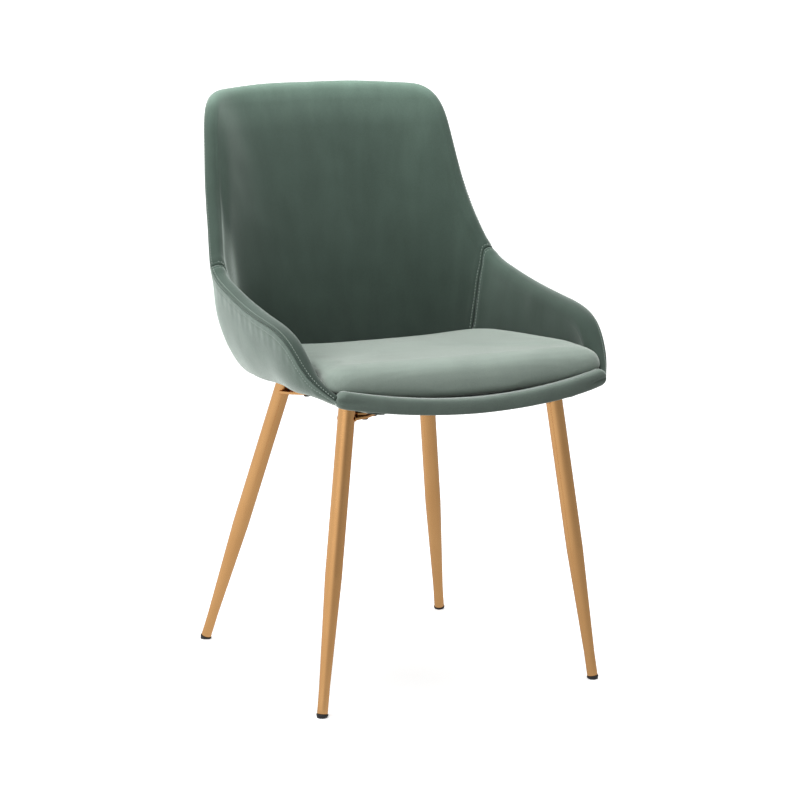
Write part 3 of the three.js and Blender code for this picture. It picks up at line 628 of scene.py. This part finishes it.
def outer_grid():
    ts = even_steps(0.001, 1.999, 420, 0.35)
    t = ts[:, None]
    tall = wall_height(t)
    edge = np.array(EDGE_PROFILE)
    low = rim_share(t)
    top = layer(t, 1 + edge[None, :, 1] * low / tall, edge[None, :, 0])
    u = np.linspace(0, 1, 60)[1:]
    h = (1 - EDGE_DEEP * low / tall) * (1 - u[None, :]) ** 1.25
    side = layer(t, h, 0.0)
    under = floor_point(t, np.linspace(0, 0.30, 16)[None, 1:])
    grid = np.concatenate([top, side, under], 1)
    normals = grid_normals(grid)
    if np.mean(normals[:, 20, 0] * grid[:, 20, 0]) < 0:
        normals = -normals
    below = np.concatenate([np.repeat(-edge[None, :, 1], len(ts), 0), tall * (1 - h)], 1)
    below = np.concatenate([below, np.full(under.shape[:2], FAR_BELOW)], 1)
    along = np.concatenate([[0], np.cumsum(np.linalg.norm(np.diff(grid[:, 3], axis=0), axis=1))])
    shift = ridge(below, 0.35, 13, 5.0) - ridge(below, 0.5, 6.6, 1.1)
    gathers = np.sin(along * TAU / 31)[:, None] * np.sin(along * TAU / 83 + 1)[:, None]
    shift += gathers * ridge(below, 0.35, 16, 12)
    uneven = soft_noise(grid, 150, 5) * 0.8 + soft_noise(grid, 50, 6) * 0.2
    shift += uneven * np.clip((below - 6) / 30, 0, 1) * (below < FAR_BELOW)
    grid = grid + normals * shift[..., None]
    return grid, normals

outer, outer_normals = outer_grid()
velvet_sheet("outer_cover_skin", outer, velvet_outside, ("outer_cover",), 1.5, -1)

# ------------------------------------------------------------------ topstitching on the shell

STITCH_FROM_SEAM = 4.6

def rim_rows():
    """A row of stitches along each padded piece, beside the rim's seam."""
    rows = []
    for grid, normals, _ in pads.values():
        depth = np.linalg.norm(grid[:, :14] - grid[:, 2:3], axis=-1).mean(0)
        index = int(np.argmin(abs(depth - STITCH_FROM_SEAM)))
        rows.append((grid[:, index], normals[:, index]))
    return rows

def junction_rows():
    """Two rows of stitches beside each seam between arm and back, down the inner face."""
    rows = []
    for key, (grid, normals, count) in pads.items():
        for seam, end in ((ARM_END, 0 if key == "back" else -1), (2 - ARM_END, -1 if key == "back" else 0)):
            if key == "arm_right" and seam > 1 or key == "arm_left" and seam < 1:
                continue
            edge = grid[end, :count]
            distance = np.linalg.norm(grid[:, :count] - edge[None], axis=-1)
            line, outward = [], []
            for j in range(10, count - 8):
                column = distance[:, j] if end == 0 else distance[::-1, j]
                k = int(np.searchsorted(column, STITCH_FROM_SEAM))
                k = k if end == 0 else len(column) - 1 - k
                line.append(grid[k, j])
                outward.append(normals[k, j])
            rows.append((np.array(line), np.array(outward)))
    return rows

stitches("rim_topstitch", rim_rows())
stitches("junction_topstitch", junction_rows())
stitches("outer_topstitch", [(outer[4:-4, 5], outer_normals[4:-4, 5])])

# ------------------------------------------------------------------ front band

BAND = {"half": 217.5, "cut": 9.0, "thick": 12.0, "lip": 7.0, "top": ((-282.5, 480.5), (-299.5, 457.8)),
        "bottom": ((-276.5, 456.4), (-301.5, 436.6))}
# The band's section: how far back from its face, and how far up it.
BAND_SECTION = [(0.60, 1.02), (0.30, 0.985), (0.10, 0.91), (0.0, 0.78), (-0.05, 0.5), (0.0, 0.22),
                (0.10, 0.06), (0.32, -0.02), (0.6, -0.04)]

def band_edge(u, ends):
    (corner_y, corner_z), (middle_y, middle_z) = ends
    return (middle_y + (corner_y - middle_y) * abs(u) ** BAND_POWER,
            middle_z + (corner_z - middle_z) * abs(u) ** BAND_RISE)

def band_grid():
    """Loops of the band from end to end. Its back forms a lip that rests on the shell's floor."""
    count = 22
    section = smooth_line(BAND_SECTION, count)
    up_back = np.linspace(0.0, 1.0, count)
    k = np.clip((up_back - 0.52) / 0.1, 0, 1)
    back = np.stack([1 + k * BAND["lip"] / BAND["thick"], up_back], 1)
    loop = np.vstack([section, back])
    us = np.sin(np.linspace(-1, 1, 221) * math.pi / 2) * 0.45 + np.linspace(-1, 1, 221) * 0.55
    sections = []
    for u in us:
        end = (1 - abs(u)) * BAND["half"]
        puff = math.sqrt(1 - (1 - min(end, 6) / 6) ** 2)
        low_y, low_z = band_edge(u, BAND["bottom"])
        high_y, high_z = band_edge(u, BAND["top"])
        deep = BAND["thick"] * (0.45 + 0.55 * puff)
        squeeze = 0.80 + 0.20 * math.sqrt(1 - (1 - min(end, 8) / 8) ** 2)
        up = 0.48 + (loop[:, 1] - 0.48) * squeeze
        reach = BAND["half"] - BAND["cut"] * np.minimum(1, ((up - 0.4) / 0.6) ** 2)
        y = low_y + (high_y - low_y) * up + BAND["thick"] - (1 - loop[:, 0]) * deep
        z = low_z + (high_z - low_z) * up
        crease = math.exp(-(max(end - 14, 0) / 18) ** 2) * min(1, end / 3)
        face = ridge(loop[:, 1], 1.0, 0.48, 0.09) * (loop[:, 0] < 0.6)
        y = y + face * crease * 4.0
        sections.append(np.stack([u * reach, y, z], 1))
    grid = np.array(sections)
    grid[:, :count, 1] += soft_noise(grid[:, :count], 60, 41) * 0.35
    return grid

band = band_grid()
band_piece = piece("front_band_padding", loop_solid("front_band_padding", band), velvet_band,
                   ("front_band",))

def floor_grid(ts, shares, level):
    """Rows across the shell's floor from one side to the other, at a level above its underside."""
    half = [floor_point(t, shares, level) for t in ts]
    return np.array([np.vstack([row, (row * np.array([-1, 1, 1]))[::-1][1:]]) for row in half])

def underlap_grid():
    """The band's cover, carried on under the shell's front edge to the dust cover."""
    across = floor_grid(np.linspace(0.004, 0.128, 40), np.linspace(0.26, 1.0, 30), 0.5)
    across[..., 2] -= ridge(across[..., 1], 0.35, -240, 6)
    return across

velvet_sheet("front_band_underlap", underlap_grid(), velvet_outside, (), 1.2, 1)

# Inside the shell, velvet lines the floor's edge under the cushion.
lining_shares = np.linspace(0.045, 1.0, 40)
lining = floor_grid(np.linspace(0.01, 0.50, 60), lining_shares,
                    11.0 + 7.0 * np.clip(1 - lining_shares / 0.22, 0, 1) ** 1.5)
velvet_sheet("seat_lining", lining, velvet_shell, (), 0.6, 0)

# ------------------------------------------------------------------ seat cushion

CUSHION_PLAN = [
    (0, -284.5), (110, -282), (175, -277.5), (210, -270), (223, -257), (221.5, -215), (217, -120), (210, -20),
    (198, 70), (181, 122), (148, 152), (82, 168), (0, 173),
]
# Rings from foot to shoulder: inset from the plan, and height above the underside, at the sides and
# at the front.
CUSHION_SIDE = [(60, 21), (44, 22), (24, 31), (10, 39), (3.5, 45), (0.8, 52), (0, 58), (1.0, 63.3), (3.5, 68),
                (9, 70.8), (17, 71.6), (34, 70.6)]
CUSHION_FRONT = [(60, 21), (30, 13.8), (12, 14.3), (3.5, 17), (0.6, 22.5), (0, 30), (0.9, 39.5), (3, 48),
                 (6.5, 55), (12, 60.5), (21, 64.8), (36, 67.7)]
CUSHION_MIDDLE = (0, -60)
CUSHION_CROWN = 66.2
FRONT_FROM, FRONT_TO = -175, -262       # the front profile takes over between these two lines
REAR_DROP = (-10, 180, 31.0)            # the top falls from this line, over this length, by this much
SWELL = 0.0022                          # how far the simulated cushion may swell

def cushion_plan(count):
    corners = CUSHION_PLAN + [(-x, y) for x, y in CUSHION_PLAN[-2:0:-1]]
    loop = corners[-3:] + corners + corners[:4]
    chords = np.concatenate([[0], np.cumsum(np.linalg.norm(np.diff(np.array(loop, float), axis=0), axis=1))])
    line = natural_spline(chords, np.array(loop, float))
    at = np.linspace(chords[3], chords[3 + len(corners)], count + 1)[:-1]
    return line(at), unit(line(at + 0.5) - line(at - 0.5))

def rounded(directions, reach=9):
    """The same directions, averaged with their neighbours, so that wide insets don't cross."""
    total = sum(np.roll(directions, step, axis=0) for step in range(-reach, reach + 1))
    return unit(total)

def cushion_ring(plan, inward, side, front):
    """One ring of the cushion. Its low part rises with the band towards the front corners."""
    k = np.clip((plan[:, 1] - FRONT_FROM) / (FRONT_TO - FRONT_FROM), 0, 1)
    k = k * k * (3 - 2 * k)
    inset = side[0] + (front[0] - side[0]) * k
    wide = np.clip((inset - 8) / 16, 0, 1)[:, None]
    flat = plan + unit(inward * (1 - wide) + rounded(inward) * wide) * (inset + 3.0)[:, None]
    rise = BAND["top"][0][1] - BAND["top"][1][1]
    rise = rise * np.minimum(abs(plan[:, 0]) / BAND["half"], 1) ** BAND_RISE
    rise = rise * max(0.0, 1 - front[1] / CUSHION_CROWN) ** 1.3
    above = side[1] + (np.minimum(front[1] + rise, max(side[1], front[1])) - side[1]) * k
    start, length, deep = REAR_DROP
    drop = deep * np.clip((flat[:, 1] - start) / length, 0, 1) ** 2 * min(1, side[1] / 65) ** 2
    return np.column_stack([flat, floor_height(flat[:, 1]) + above - drop])

def cushion_mesh(count=150):
    plan, along = cushion_plan(count)
    inward = np.stack([-along[:, 1], along[:, 0]], 1)
    rings = [cushion_ring(plan, inward, *pair) for pair in zip(CUSHION_SIDE, CUSHION_FRONT)]
    x, y = CUSHION_MIDDLE
    crown = np.array([x, y, floor_height(y) + CUSHION_CROWN])
    shoulder = rings[-1]
    for share in (0.2, 0.4, 0.6, 0.8, 0.92):
        ring = shoulder + (crown - shoulder) * share
        ring[:, 2] += (crown[2] - shoulder[:, 2]) * (math.sin(share * math.pi / 2) - share)
        rings.append(ring)
    return ring_solid("seat_cushion", rings, (x, y, floor_height(y) + CUSHION_SIDE[0][1]), crown)

def inflate(obj, pressure, cap, frames=20):
    """Cloth with pressure swells the closed form a little, then becomes a plain mesh again."""
    bpy.context.view_layer.objects.active = obj
    remesh = obj.modifiers.new("remesh", "REMESH")
    remesh.mode = "VOXEL"
    remesh.voxel_size = 0.0055
    bpy.ops.object.modifier_apply(modifier="remesh")
    before = np.array([v.co[:] for v in obj.data.vertices])
    cloth = obj.modifiers.new("cloth", "CLOTH")
    settings = cloth.settings
    settings.use_pressure = True
    settings.uniform_pressure_force = pressure
    settings.effector_weights.gravity = 0
    settings.quality = 6
    settings.mass = 0.2
    settings.tension_stiffness = 18
    settings.bending_stiffness = 1.2
    cloth.point_cache.frame_start = 1
    cloth.point_cache.frame_end = frames
    for number in range(1, frames + 1):
        bpy.context.scene.frame_set(number)
    graph = bpy.context.evaluated_depsgraph_get()
    after = np.array([v.co[:] for v in obj.evaluated_get(graph).data.vertices])
    obj.modifiers.remove(cloth)
    bpy.context.scene.frame_set(1)
    move = after - before
    size = np.linalg.norm(move, axis=1, keepdims=True)
    limit = cap * np.tanh(size / cap)
    final = before + move / np.maximum(size, 1e-9) * limit
    obj.data.vertices.foreach_set("co", final.ravel())
    obj.data.update()

cushion = piece("seat_cushion", cushion_mesh(), velvet_cushion,
                ("seat_cushion_cover", "seat_cushion_foam"))
inflate(cushion, 4.0, SWELL)
smooth(cushion.data)
smoothing = cushion.modifiers.new("smoothing", "SUBSURF")
smoothing.levels = smoothing.render_levels = 1

# ------------------------------------------------------------------ legs, glides, plates and bolts

LEGS = {
    "front": {"foot": (224.6, -234.5), "top": (169.8, -203.6, 428), "aim": (-0.73, 0.683),
              "end": (440.9, 0.233, -0.062), "bolts": ((36, 14), (72, 14), (72, -14))},
    "rear": {"foot": (208.5, 237.3), "top": (123.6, 122.6, 412), "aim": (-0.68, -0.733),
             "end": (426.4, 0.196, 0.2), "bolts": ((46, 12), (74, 14), (74, -14))},
}
PLATE = {"long": 90.0, "half": 23.0, "cut": 10.0, "leg_cut": (24.0, 8.5), "notch": 13.6, "top": -11.3,
         "thick": 4.0}
SPACER = {"from": 17.0, "to": 85.0, "half": 20.0, "cut": 9.0, "top": -6.3, "thick": 4.7}
SEAT_TILT = Matrix.Translation((0, 0, floor_height(0))) @ Matrix.Rotation(math.atan(-0.05), 4, "X")
LEG_SIDES, LEG_TIP = 56, 5.5
TUBE_RADIUS, TIP_RADIUS = 12.5, 8.0
TAPER_FROM, TAPER_TO = 0.53, 0.90       # the taper's ends, as shares of the length from the top
BORE, BEVEL = 3.4, 0.5
# Profiles as radius and height: the glide's above the floor, the bolt's above the plate's lower side.
GLIDE_PROFILE = [(5.0, -4), (6.9, -4), (7.5, -3.6), (8.6, 3.0), (8.9, 3.6), (8.9, 4.9), (8.6, 5.2),
                 (6.2, 5.2), (6.2, 9)]
BOLT_PROFILE = [(0.02, -1.5), (2.1, -1.5), (2.1, -3.3), (2.5, -3.5), (3.9, -3.4), (4.8, -2.7), (5.2, -1.4),
                (5.2, -0.1), (3.0, 0), (3.0, 15), (0.02, 15.4)]

def corners():
    for end, leg in LEGS.items():
        for side, sign in (("right", 1), ("left", -1)):
            aim = unit(np.array([leg["aim"][0] * sign, leg["aim"][1]]))
            across = np.array([-aim[1] * sign, aim[0] * sign])
            top = np.array([leg["top"][0] * sign, leg["top"][1], leg["top"][2]], float)
            foot = np.array([leg["foot"][0] * sign, leg["foot"][1], 0.0])
            height, slope_x, slope_y = leg["end"]
            slope_x *= sign
            level = height - slope_x * top[0] - slope_y * top[1]

            def at(along, out, top=top, aim=aim, across=across):
                return top[:2] + aim * along + across * out
            yield f"{end}_{side}", foot, top, at, (level, slope_x, slope_y), [at(*b) for b in leg["bolts"]]

def axis_matrix(foot, top):
    axis = Vector(top - foot).normalized()
    return Matrix.Translation(Vector(foot)) @ Vector((0, 0, 1)).rotation_difference(axis).to_matrix().to_4x4()

def trimmed(points, axis, chosen, level, slope_x=0.0, slope_y=0.0):
    """Slides the chosen points along the axis onto the plane z = level + slope_x * x + slope_y * y."""
    rise = level + slope_x * points[:, 0] + slope_y * points[:, 1] - points[:, 2]
    points[chosen] += axis * (rise / (axis[2] - slope_x * axis[0] - slope_y * axis[1]))[chosen][:, None]
    return points

def ring_body(name, rings):
    """A closed body from stacked rings, with a flat cap at each end."""
    rows, columns, _ = rings.shape
    faces = grid_faces(rows, columns, closed_columns=True)
    faces += [tuple(range(columns)), tuple(range((rows - 1) * columns, rows * columns))]
    return mesh_of(name, rings.reshape(-1, 3), faces)

def make_leg(name, foot, top, end):
    long = float(np.linalg.norm(top - foot))
    straight, tip = long * (1 - TAPER_FROM), long * (1 - TAPER_TO)
    profile = [(6.4, LEG_TIP), (7.2, LEG_TIP), (7.85, LEG_TIP + 0.35), (TIP_RADIUS, LEG_TIP + 1.0)]
    profile += [(TIP_RADIUS, z) for z in np.linspace(12, tip - 3, 4)]
    profile += [(TIP_RADIUS + (TUBE_RADIUS - TIP_RADIUS) * (z - tip) / (straight - tip), z)
                for z in np.linspace(tip, straight, 26)]
    profile += [(TUBE_RADIUS, z) for z in np.linspace(straight + 3, long - 4, 14)]
    profile += [(TUBE_RADIUS, long + 12)]
    rings = turned(profile, LEG_SIDES)
    flat = placed(rings, axis_matrix(foot, top))
    flat = trimmed(flat, unit(top - foot), slice(-LEG_SIDES, None), *end)
    return ring_body(name, flat.reshape(rings.shape))

def make_glide(name, foot, top):
    rings = turned(GLIDE_PROFILE, LEG_SIDES)
    axis = unit(top - foot)
    flat = placed(rings, axis_matrix(foot, top))
    flat = trimmed(flat, axis, slice(0, 2 * LEG_SIDES), 0)
    flat = trimmed(flat, axis, slice(2 * LEG_SIDES, 3 * LEG_SIDES), 0.35)
    return ring_body(name, flat.reshape(rings.shape))

def make_weld(name, foot, top, at):
    """A lumpy bead of weld along the joint of tube and plate, on the plate's lower side."""
    axis = unit(top - foot)
    aim = unit(np.array([*(at(1, 0) - at(0, 0)), 0.0]))
    side = unit(np.cross(axis, aim))
    out = np.cross(side, axis)
    plane = floor_height(0) + PLATE["top"] - PLATE["thick"]
    half = 1.45
    angles = np.linspace(-half, half, 90)
    fade = np.clip((half - abs(angles)) / 0.12, 0.05, 1) ** 0.5
    loops = []
    for around in np.arange(10) * TAU / 10:
        lump = (1 + 0.14 * np.sin(angles * 21 + 0.5 * math.sin(3 * around))) * fade
        radius = 13.0 + 1.9 * math.cos(around) * lump
        ring = np.array(axis_matrix(foot, top).translation) + axis * np.linalg.norm(top - foot)
        ring = ring + (np.cos(angles)[:, None] * out + np.sin(angles)[:, None] * side) * radius[:, None]
        ring = trimmed(ring, axis, slice(None), plane - 0.4, 0.0, -0.05)
        ring[:, 2] += 1.8 * math.sin(around) * lump
        loops.append(ring)
    return ring_body(name, np.array(loops).transpose(1, 0, 2))

def flat_body(name, at, outline, sizes, bores):
    """A flat body under the seat with bevelled edges and round holes. outline is along and across."""
    low = sizes["top"] - sizes["thick"]
    loops = [np.array([at(*p) for p in outline])]
    for bore in bores:
        angles = -np.arange(24) * TAU / 24
        loops.append(bore + BORE * np.column_stack([np.cos(angles), np.sin(angles)]))
    mesh = bpy.data.meshes.new(name)
    work = bmesh.new()
    edges = []
    for loop in loops:
        ring = [work.verts.new(Vector((*p, low)) * MM) for p in loop]
        edges += [work.edges.new((ring[i], ring[(i + 1) % len(ring)])) for i in range(len(ring))]
    fill = bmesh.ops.triangle_fill(work, use_beauty=True, use_dissolve=True, edges=edges)
    faces = [f for f in fill["geom"] if isinstance(f, bmesh.types.BMFace)]
    grown = bmesh.ops.extrude_face_region(work, geom=faces)
    top = [v for v in grown["geom"] if isinstance(v, bmesh.types.BMVert)]
    bmesh.ops.translate(work, verts=top, vec=(0, 0, sizes["thick"] * MM))
    bmesh.ops.recalc_face_normals(work, faces=work.faces)
    sharp = [e for e in work.edges if len(e.link_faces) == 2 and e.calc_face_angle() > 1.2]
    bmesh.ops.bevel(work, geom=sharp, offset=BEVEL * MM, segments=3, affect="EDGES", profile=0.5)
    tilt = SEAT_TILT.copy()
    tilt.translation *= MM
    bmesh.ops.transform(work, matrix=tilt, verts=work.verts)
    work.to_mesh(mesh)
    work.free()
    return mesh

def flat_outline(start, end, half, cut, near_cut):
    """An outline along and across, with cut corners. near_cut is the cut at the tube's end."""
    along, across = near_cut
    right = [(start, -half + across), (start + along, -half), (end - cut, -half), (end, -half + cut)]
    return right + [(x, -y) for x, y in right[::-1]]

def plate_outline():
    round_leg = [(PLATE["notch"] * math.cos(a), PLATE["notch"] * math.sin(a))
                 for a in np.linspace(math.pi / 2, -math.pi / 2, 25)]
    return flat_outline(0, PLATE["long"], PLATE["half"], PLATE["cut"], PLATE["leg_cut"]) + round_leg

def spacer_outline():
    cut = SPACER["cut"]
    return flat_outline(SPACER["from"], SPACER["to"], SPACER["half"], cut, (cut, cut))

def make_bolt(name, point):
    base = PLATE["top"] - PLATE["thick"] - 0.1
    profile = [(radius, base + up) for radius, up in BOLT_PROFILE]
    rings = turned(profile, 36, hexagon=(1, 2)) + np.array([*point, 0.0])
    return ring_body(name, placed(rings, SEAT_TILT).reshape(rings.shape))

bolt_points = []
for corner, foot, top, at, end, bolts in corners():
    tube, sole, weld = f"tube_{corner}", f"foot_{corner}", f"weld_{corner}"
    hard_piece(tube, make_leg(tube, foot, top, end), brass, (f"leg_{corner}",), 50)
    hard_piece(sole, make_glide(sole, foot, top), black_plastic, (f"glide_{corner}",), 35)
    piece(weld, make_weld(weld, foot, top, at), brass)
    for name, sizes, outline, node in (
            (f"bracket_{corner}", PLATE, plate_outline(), f"leg_plate_{corner}"),
            (f"spacer_{corner}", SPACER, spacer_outline(), f"leg_spacer_{corner}")):
        hard_piece(name, flat_body(name, at, outline, sizes, bolts), brass, (node,))
    for i, point in enumerate(bolts, 1):
        name = f"socket_bolt_{corner}_{i}"
        bolt_points.append(point)
        hard_piece(name, make_bolt(name, point), black_steel, (f"leg_bolt_{corner}_{i}",))

# ------------------------------------------------------------------ dust cover and staples

DUST_LEVEL = -5.35
DUST_FRONT = -225
DUST_MIDDLE = np.array([0.0, -55.0])

def board_outline(share=0.32):
    right = floor_point(np.linspace(0.12, 1, 40), share)[:, :2]
    left = right[:-1][::-1] * np.array([-1, 1])
    front = np.array([[right[0, 0] - 16, DUST_FRONT]])
    return np.vstack([front, right, left, front * np.array([-1, 1])])

def dust_mesh():
    """The cloth under the board, with its edge turned up round the board to the shell."""
    outline = board_outline()
    loop = np.vstack([outline, outline[:1]])
    edge = resampled(np.column_stack([loop, np.zeros(len(loop))]), 5.0)[:, :2]
    outward = unit(edge - DUST_MIDDLE)
    count = len(edge)
    rings = [np.column_stack([edge + outward * grow, np.full(count, level)])
             for grow, level in ((1.4, -0.6), (1.3, -2.4), (1.1, -4.2), (0.5, -5.1))]
    for share in np.linspace(0, 0.97, 26):
        flat = edge + (DUST_MIDDLE - edge) * share
        near = np.min([np.linalg.norm(flat - p, axis=1) for p in bolt_points], axis=0)
        sag = -1.6 * (1 - (1 - share) ** 2) * np.clip((near - 30) / 40, 0, 1)
        ripple = 0.25 * np.sin(np.arange(count) * 0.5) * math.exp(-share / 0.08)
        rings.append(np.column_stack([flat, DUST_LEVEL + sag + ripple]))
    faces = grid_faces(len(rings), count, closed_columns=True)
    last = len(rings) * count
    for j in range(count):
        faces.append((last, last - count + j, last - count + (j + 1) % count))
    points = np.vstack(rings + [np.array([[*DUST_MIDDLE, DUST_LEVEL - 1.6]])])
    return mesh_of("dust_cover_cloth", placed(points, SEAT_TILT), faces), edge

dust, dust_edge = dust_mesh()
dust_cover = piece("dust_cover_cloth", dust, dust_cloth, ("dust_cover",))
thicken(dust_cover, 0.35, 0)
x, y = dust_edge[:, 0], dust_edge[:, 1]
dust_area = abs(np.sum(x * np.roll(y, -1) - y * np.roll(x, -1))) / 2 * MM * MM

def staples():
    """Wire staples round the dust cover's edge."""
    points, faces = [], []
    crown, leg, wire, pitch = 5.0, 1.6, 0.32, 34.0
    loop = np.vstack([dust_edge, dust_edge[:1]])
    line = np.column_stack([loop, np.zeros(len(loop))])
    spots, ahead = resampled(line, pitch), resampled(line, pitch / 8)
    middle = np.array([*DUST_MIDDLE, 0.0])
    for spot in spots:
        nearest = int(np.argmin(np.linalg.norm(ahead - spot, axis=1)))
        along = unit(ahead[(nearest + 1) % len(ahead)] - ahead[nearest - 1])
        spot = spot + unit(middle - spot) * 8
        if min(np.linalg.norm(spot[:2] - p) for p in bolt_points) < pitch:
            continue
        path = [(-crown, leg), (-crown, 0.2), (-crown + 0.5, -0.25)]
        path += [(-reach, lift) for reach, lift in path[::-1]]
        first = len(points)
        side = np.cross(along, [0, 0, 1.0])
        for reach, lift in path:
            centre = spot + along * reach + np.array([0, 0, DUST_LEVEL - 0.2 + lift])
            for a in np.arange(6) * TAU / 6:
                points.append(centre + (side * math.cos(a) + np.array([0, 0, math.sin(a)])) * wire)
        faces += grid_faces(len(path), 6, closed_columns=True, start=first)
        faces += [tuple(range(first, first + 6)), tuple(range(first + 30, first + 36))]
    return mesh_of("dust_cover_staples", placed(points, SEAT_TILT), faces)

piece("dust_cover_staples", staples(), zinc_steel)

# ------------------------------------------------------------------ floor and light

# Light from one side of the view to the other: of the studio round the chair, and of the floor over a
# span about the chair.
STUDIO_TURN = math.radians(26.5)
STUDIO = [(0.0, 0.80), (0.28, 0.90), (0.42, 0.78), (0.60, 0.42), (0.80, 0.17), (1.0, 0.25)]
FLOOR_SPAN, FLOOR_HALF = 4.0, 70.0
FLOOR_GLOW = [(0.0, 0.9), (0.40, 0.78), (0.50, 0.62), (0.65, 0.50), (1.0, 0.42)]
BACKDROP = 1.25

def greys(stops):
    return [(at, (level,) * 3) for at, level in stops]

def make_floor():
    """A white floor, with more light of its own far from the lamps. What it throws back on the chair
    is bright on one side and dim on the other."""
    mesh = bpy.data.meshes.new("floor")
    square = [(x * FLOOR_HALF, y * FLOOR_HALF, 0) for x, y in ((-1, -1), (1, -1), (1, 1), (-1, 1))]
    mesh.from_pydata(square, [], [(0, 1, 2, 3)])
    floor = bpy.data.objects.new("floor", mesh)
    bpy.context.scene.collection.objects.link(floor)
    n = Nodes("pale_floor")
    base = n.ramp(n.noise(40.0), (0.3, (0.90, 0.90, 0.90)), (0.7, (0.92, 0.92, 0.92)))
    away = n.add("ShaderNodeVectorMath")
    away.operation = "LENGTH"
    n.link(n.add("ShaderNodeTexCoord").outputs["Object"], away.inputs[0])
    far = n.add("ShaderNodeMapRange", Value=away.outputs["Value"], From_Min=1.5, From_Max=8.0, To_Min=0.45,
                To_Max=1.0)
    mesh.materials.append(n.set(Base_Color=base, Roughness=0.9, Specular_IOR_Level=0.0,
                                Emission_Color=(1, 1, 1, 1), Emission_Strength=far.outputs["Result"]))
    share = n.math("ADD", n.math("MULTIPLY", n.along("X", turn=STUDIO_TURN), 1 / FLOOR_SPAN), 0.5)
    glow = n.add("ShaderNodeEmission", Color=n.ramp(share, *greys(FLOOR_GLOW)))
    n.by_ray(n.shader.outputs[0], glow.outputs[0])

def make_world():
    """A white studio whose soft light is strong on the chair's right-hand side and weak on the other."""
    world = bpy.data.worlds.new("studio")
    bpy.context.scene.world = world
    n = Nodes(world)
    share = n.math("MULTIPLY_ADD", n.along("X", "Generated", STUDIO_TURN), 0.5, 0.5)
    soft = n.tree.nodes["Background"]
    n.link(n.ramp(share, *greys(STUDIO)), soft.inputs["Color"])
    white = n.add("ShaderNodeBackground", Color=(1, 1, 1, 1), Strength=BACKDROP)
    n.by_ray(white.outputs[0], soft.outputs[0])

def area_light(name, location, target, size, power):
    data = bpy.data.lights.new(name, "AREA")
    data.shape = "RECTANGLE"
    data.size = data.size_y = size
    data.energy = power
    light = bpy.data.objects.new(name, data)
    light.location = location
    light.rotation_euler = (Vector(target) - Vector(location)).to_track_quat("-Z", "Y").to_euler()
    bpy.context.scene.collection.objects.link(light)

make_floor()
make_world()
area_light("key", (-3.2, -1.6, 2.6), (0, 0, 0.55), 2.6, 64)
area_light("top", (0.1, 0.15, 3.2), (0, 0, 0.5), 2.6, 88)
bpy.context.scene.view_settings.view_transform = "Standard"
bpy.context.scene.view_settings.look = "None"
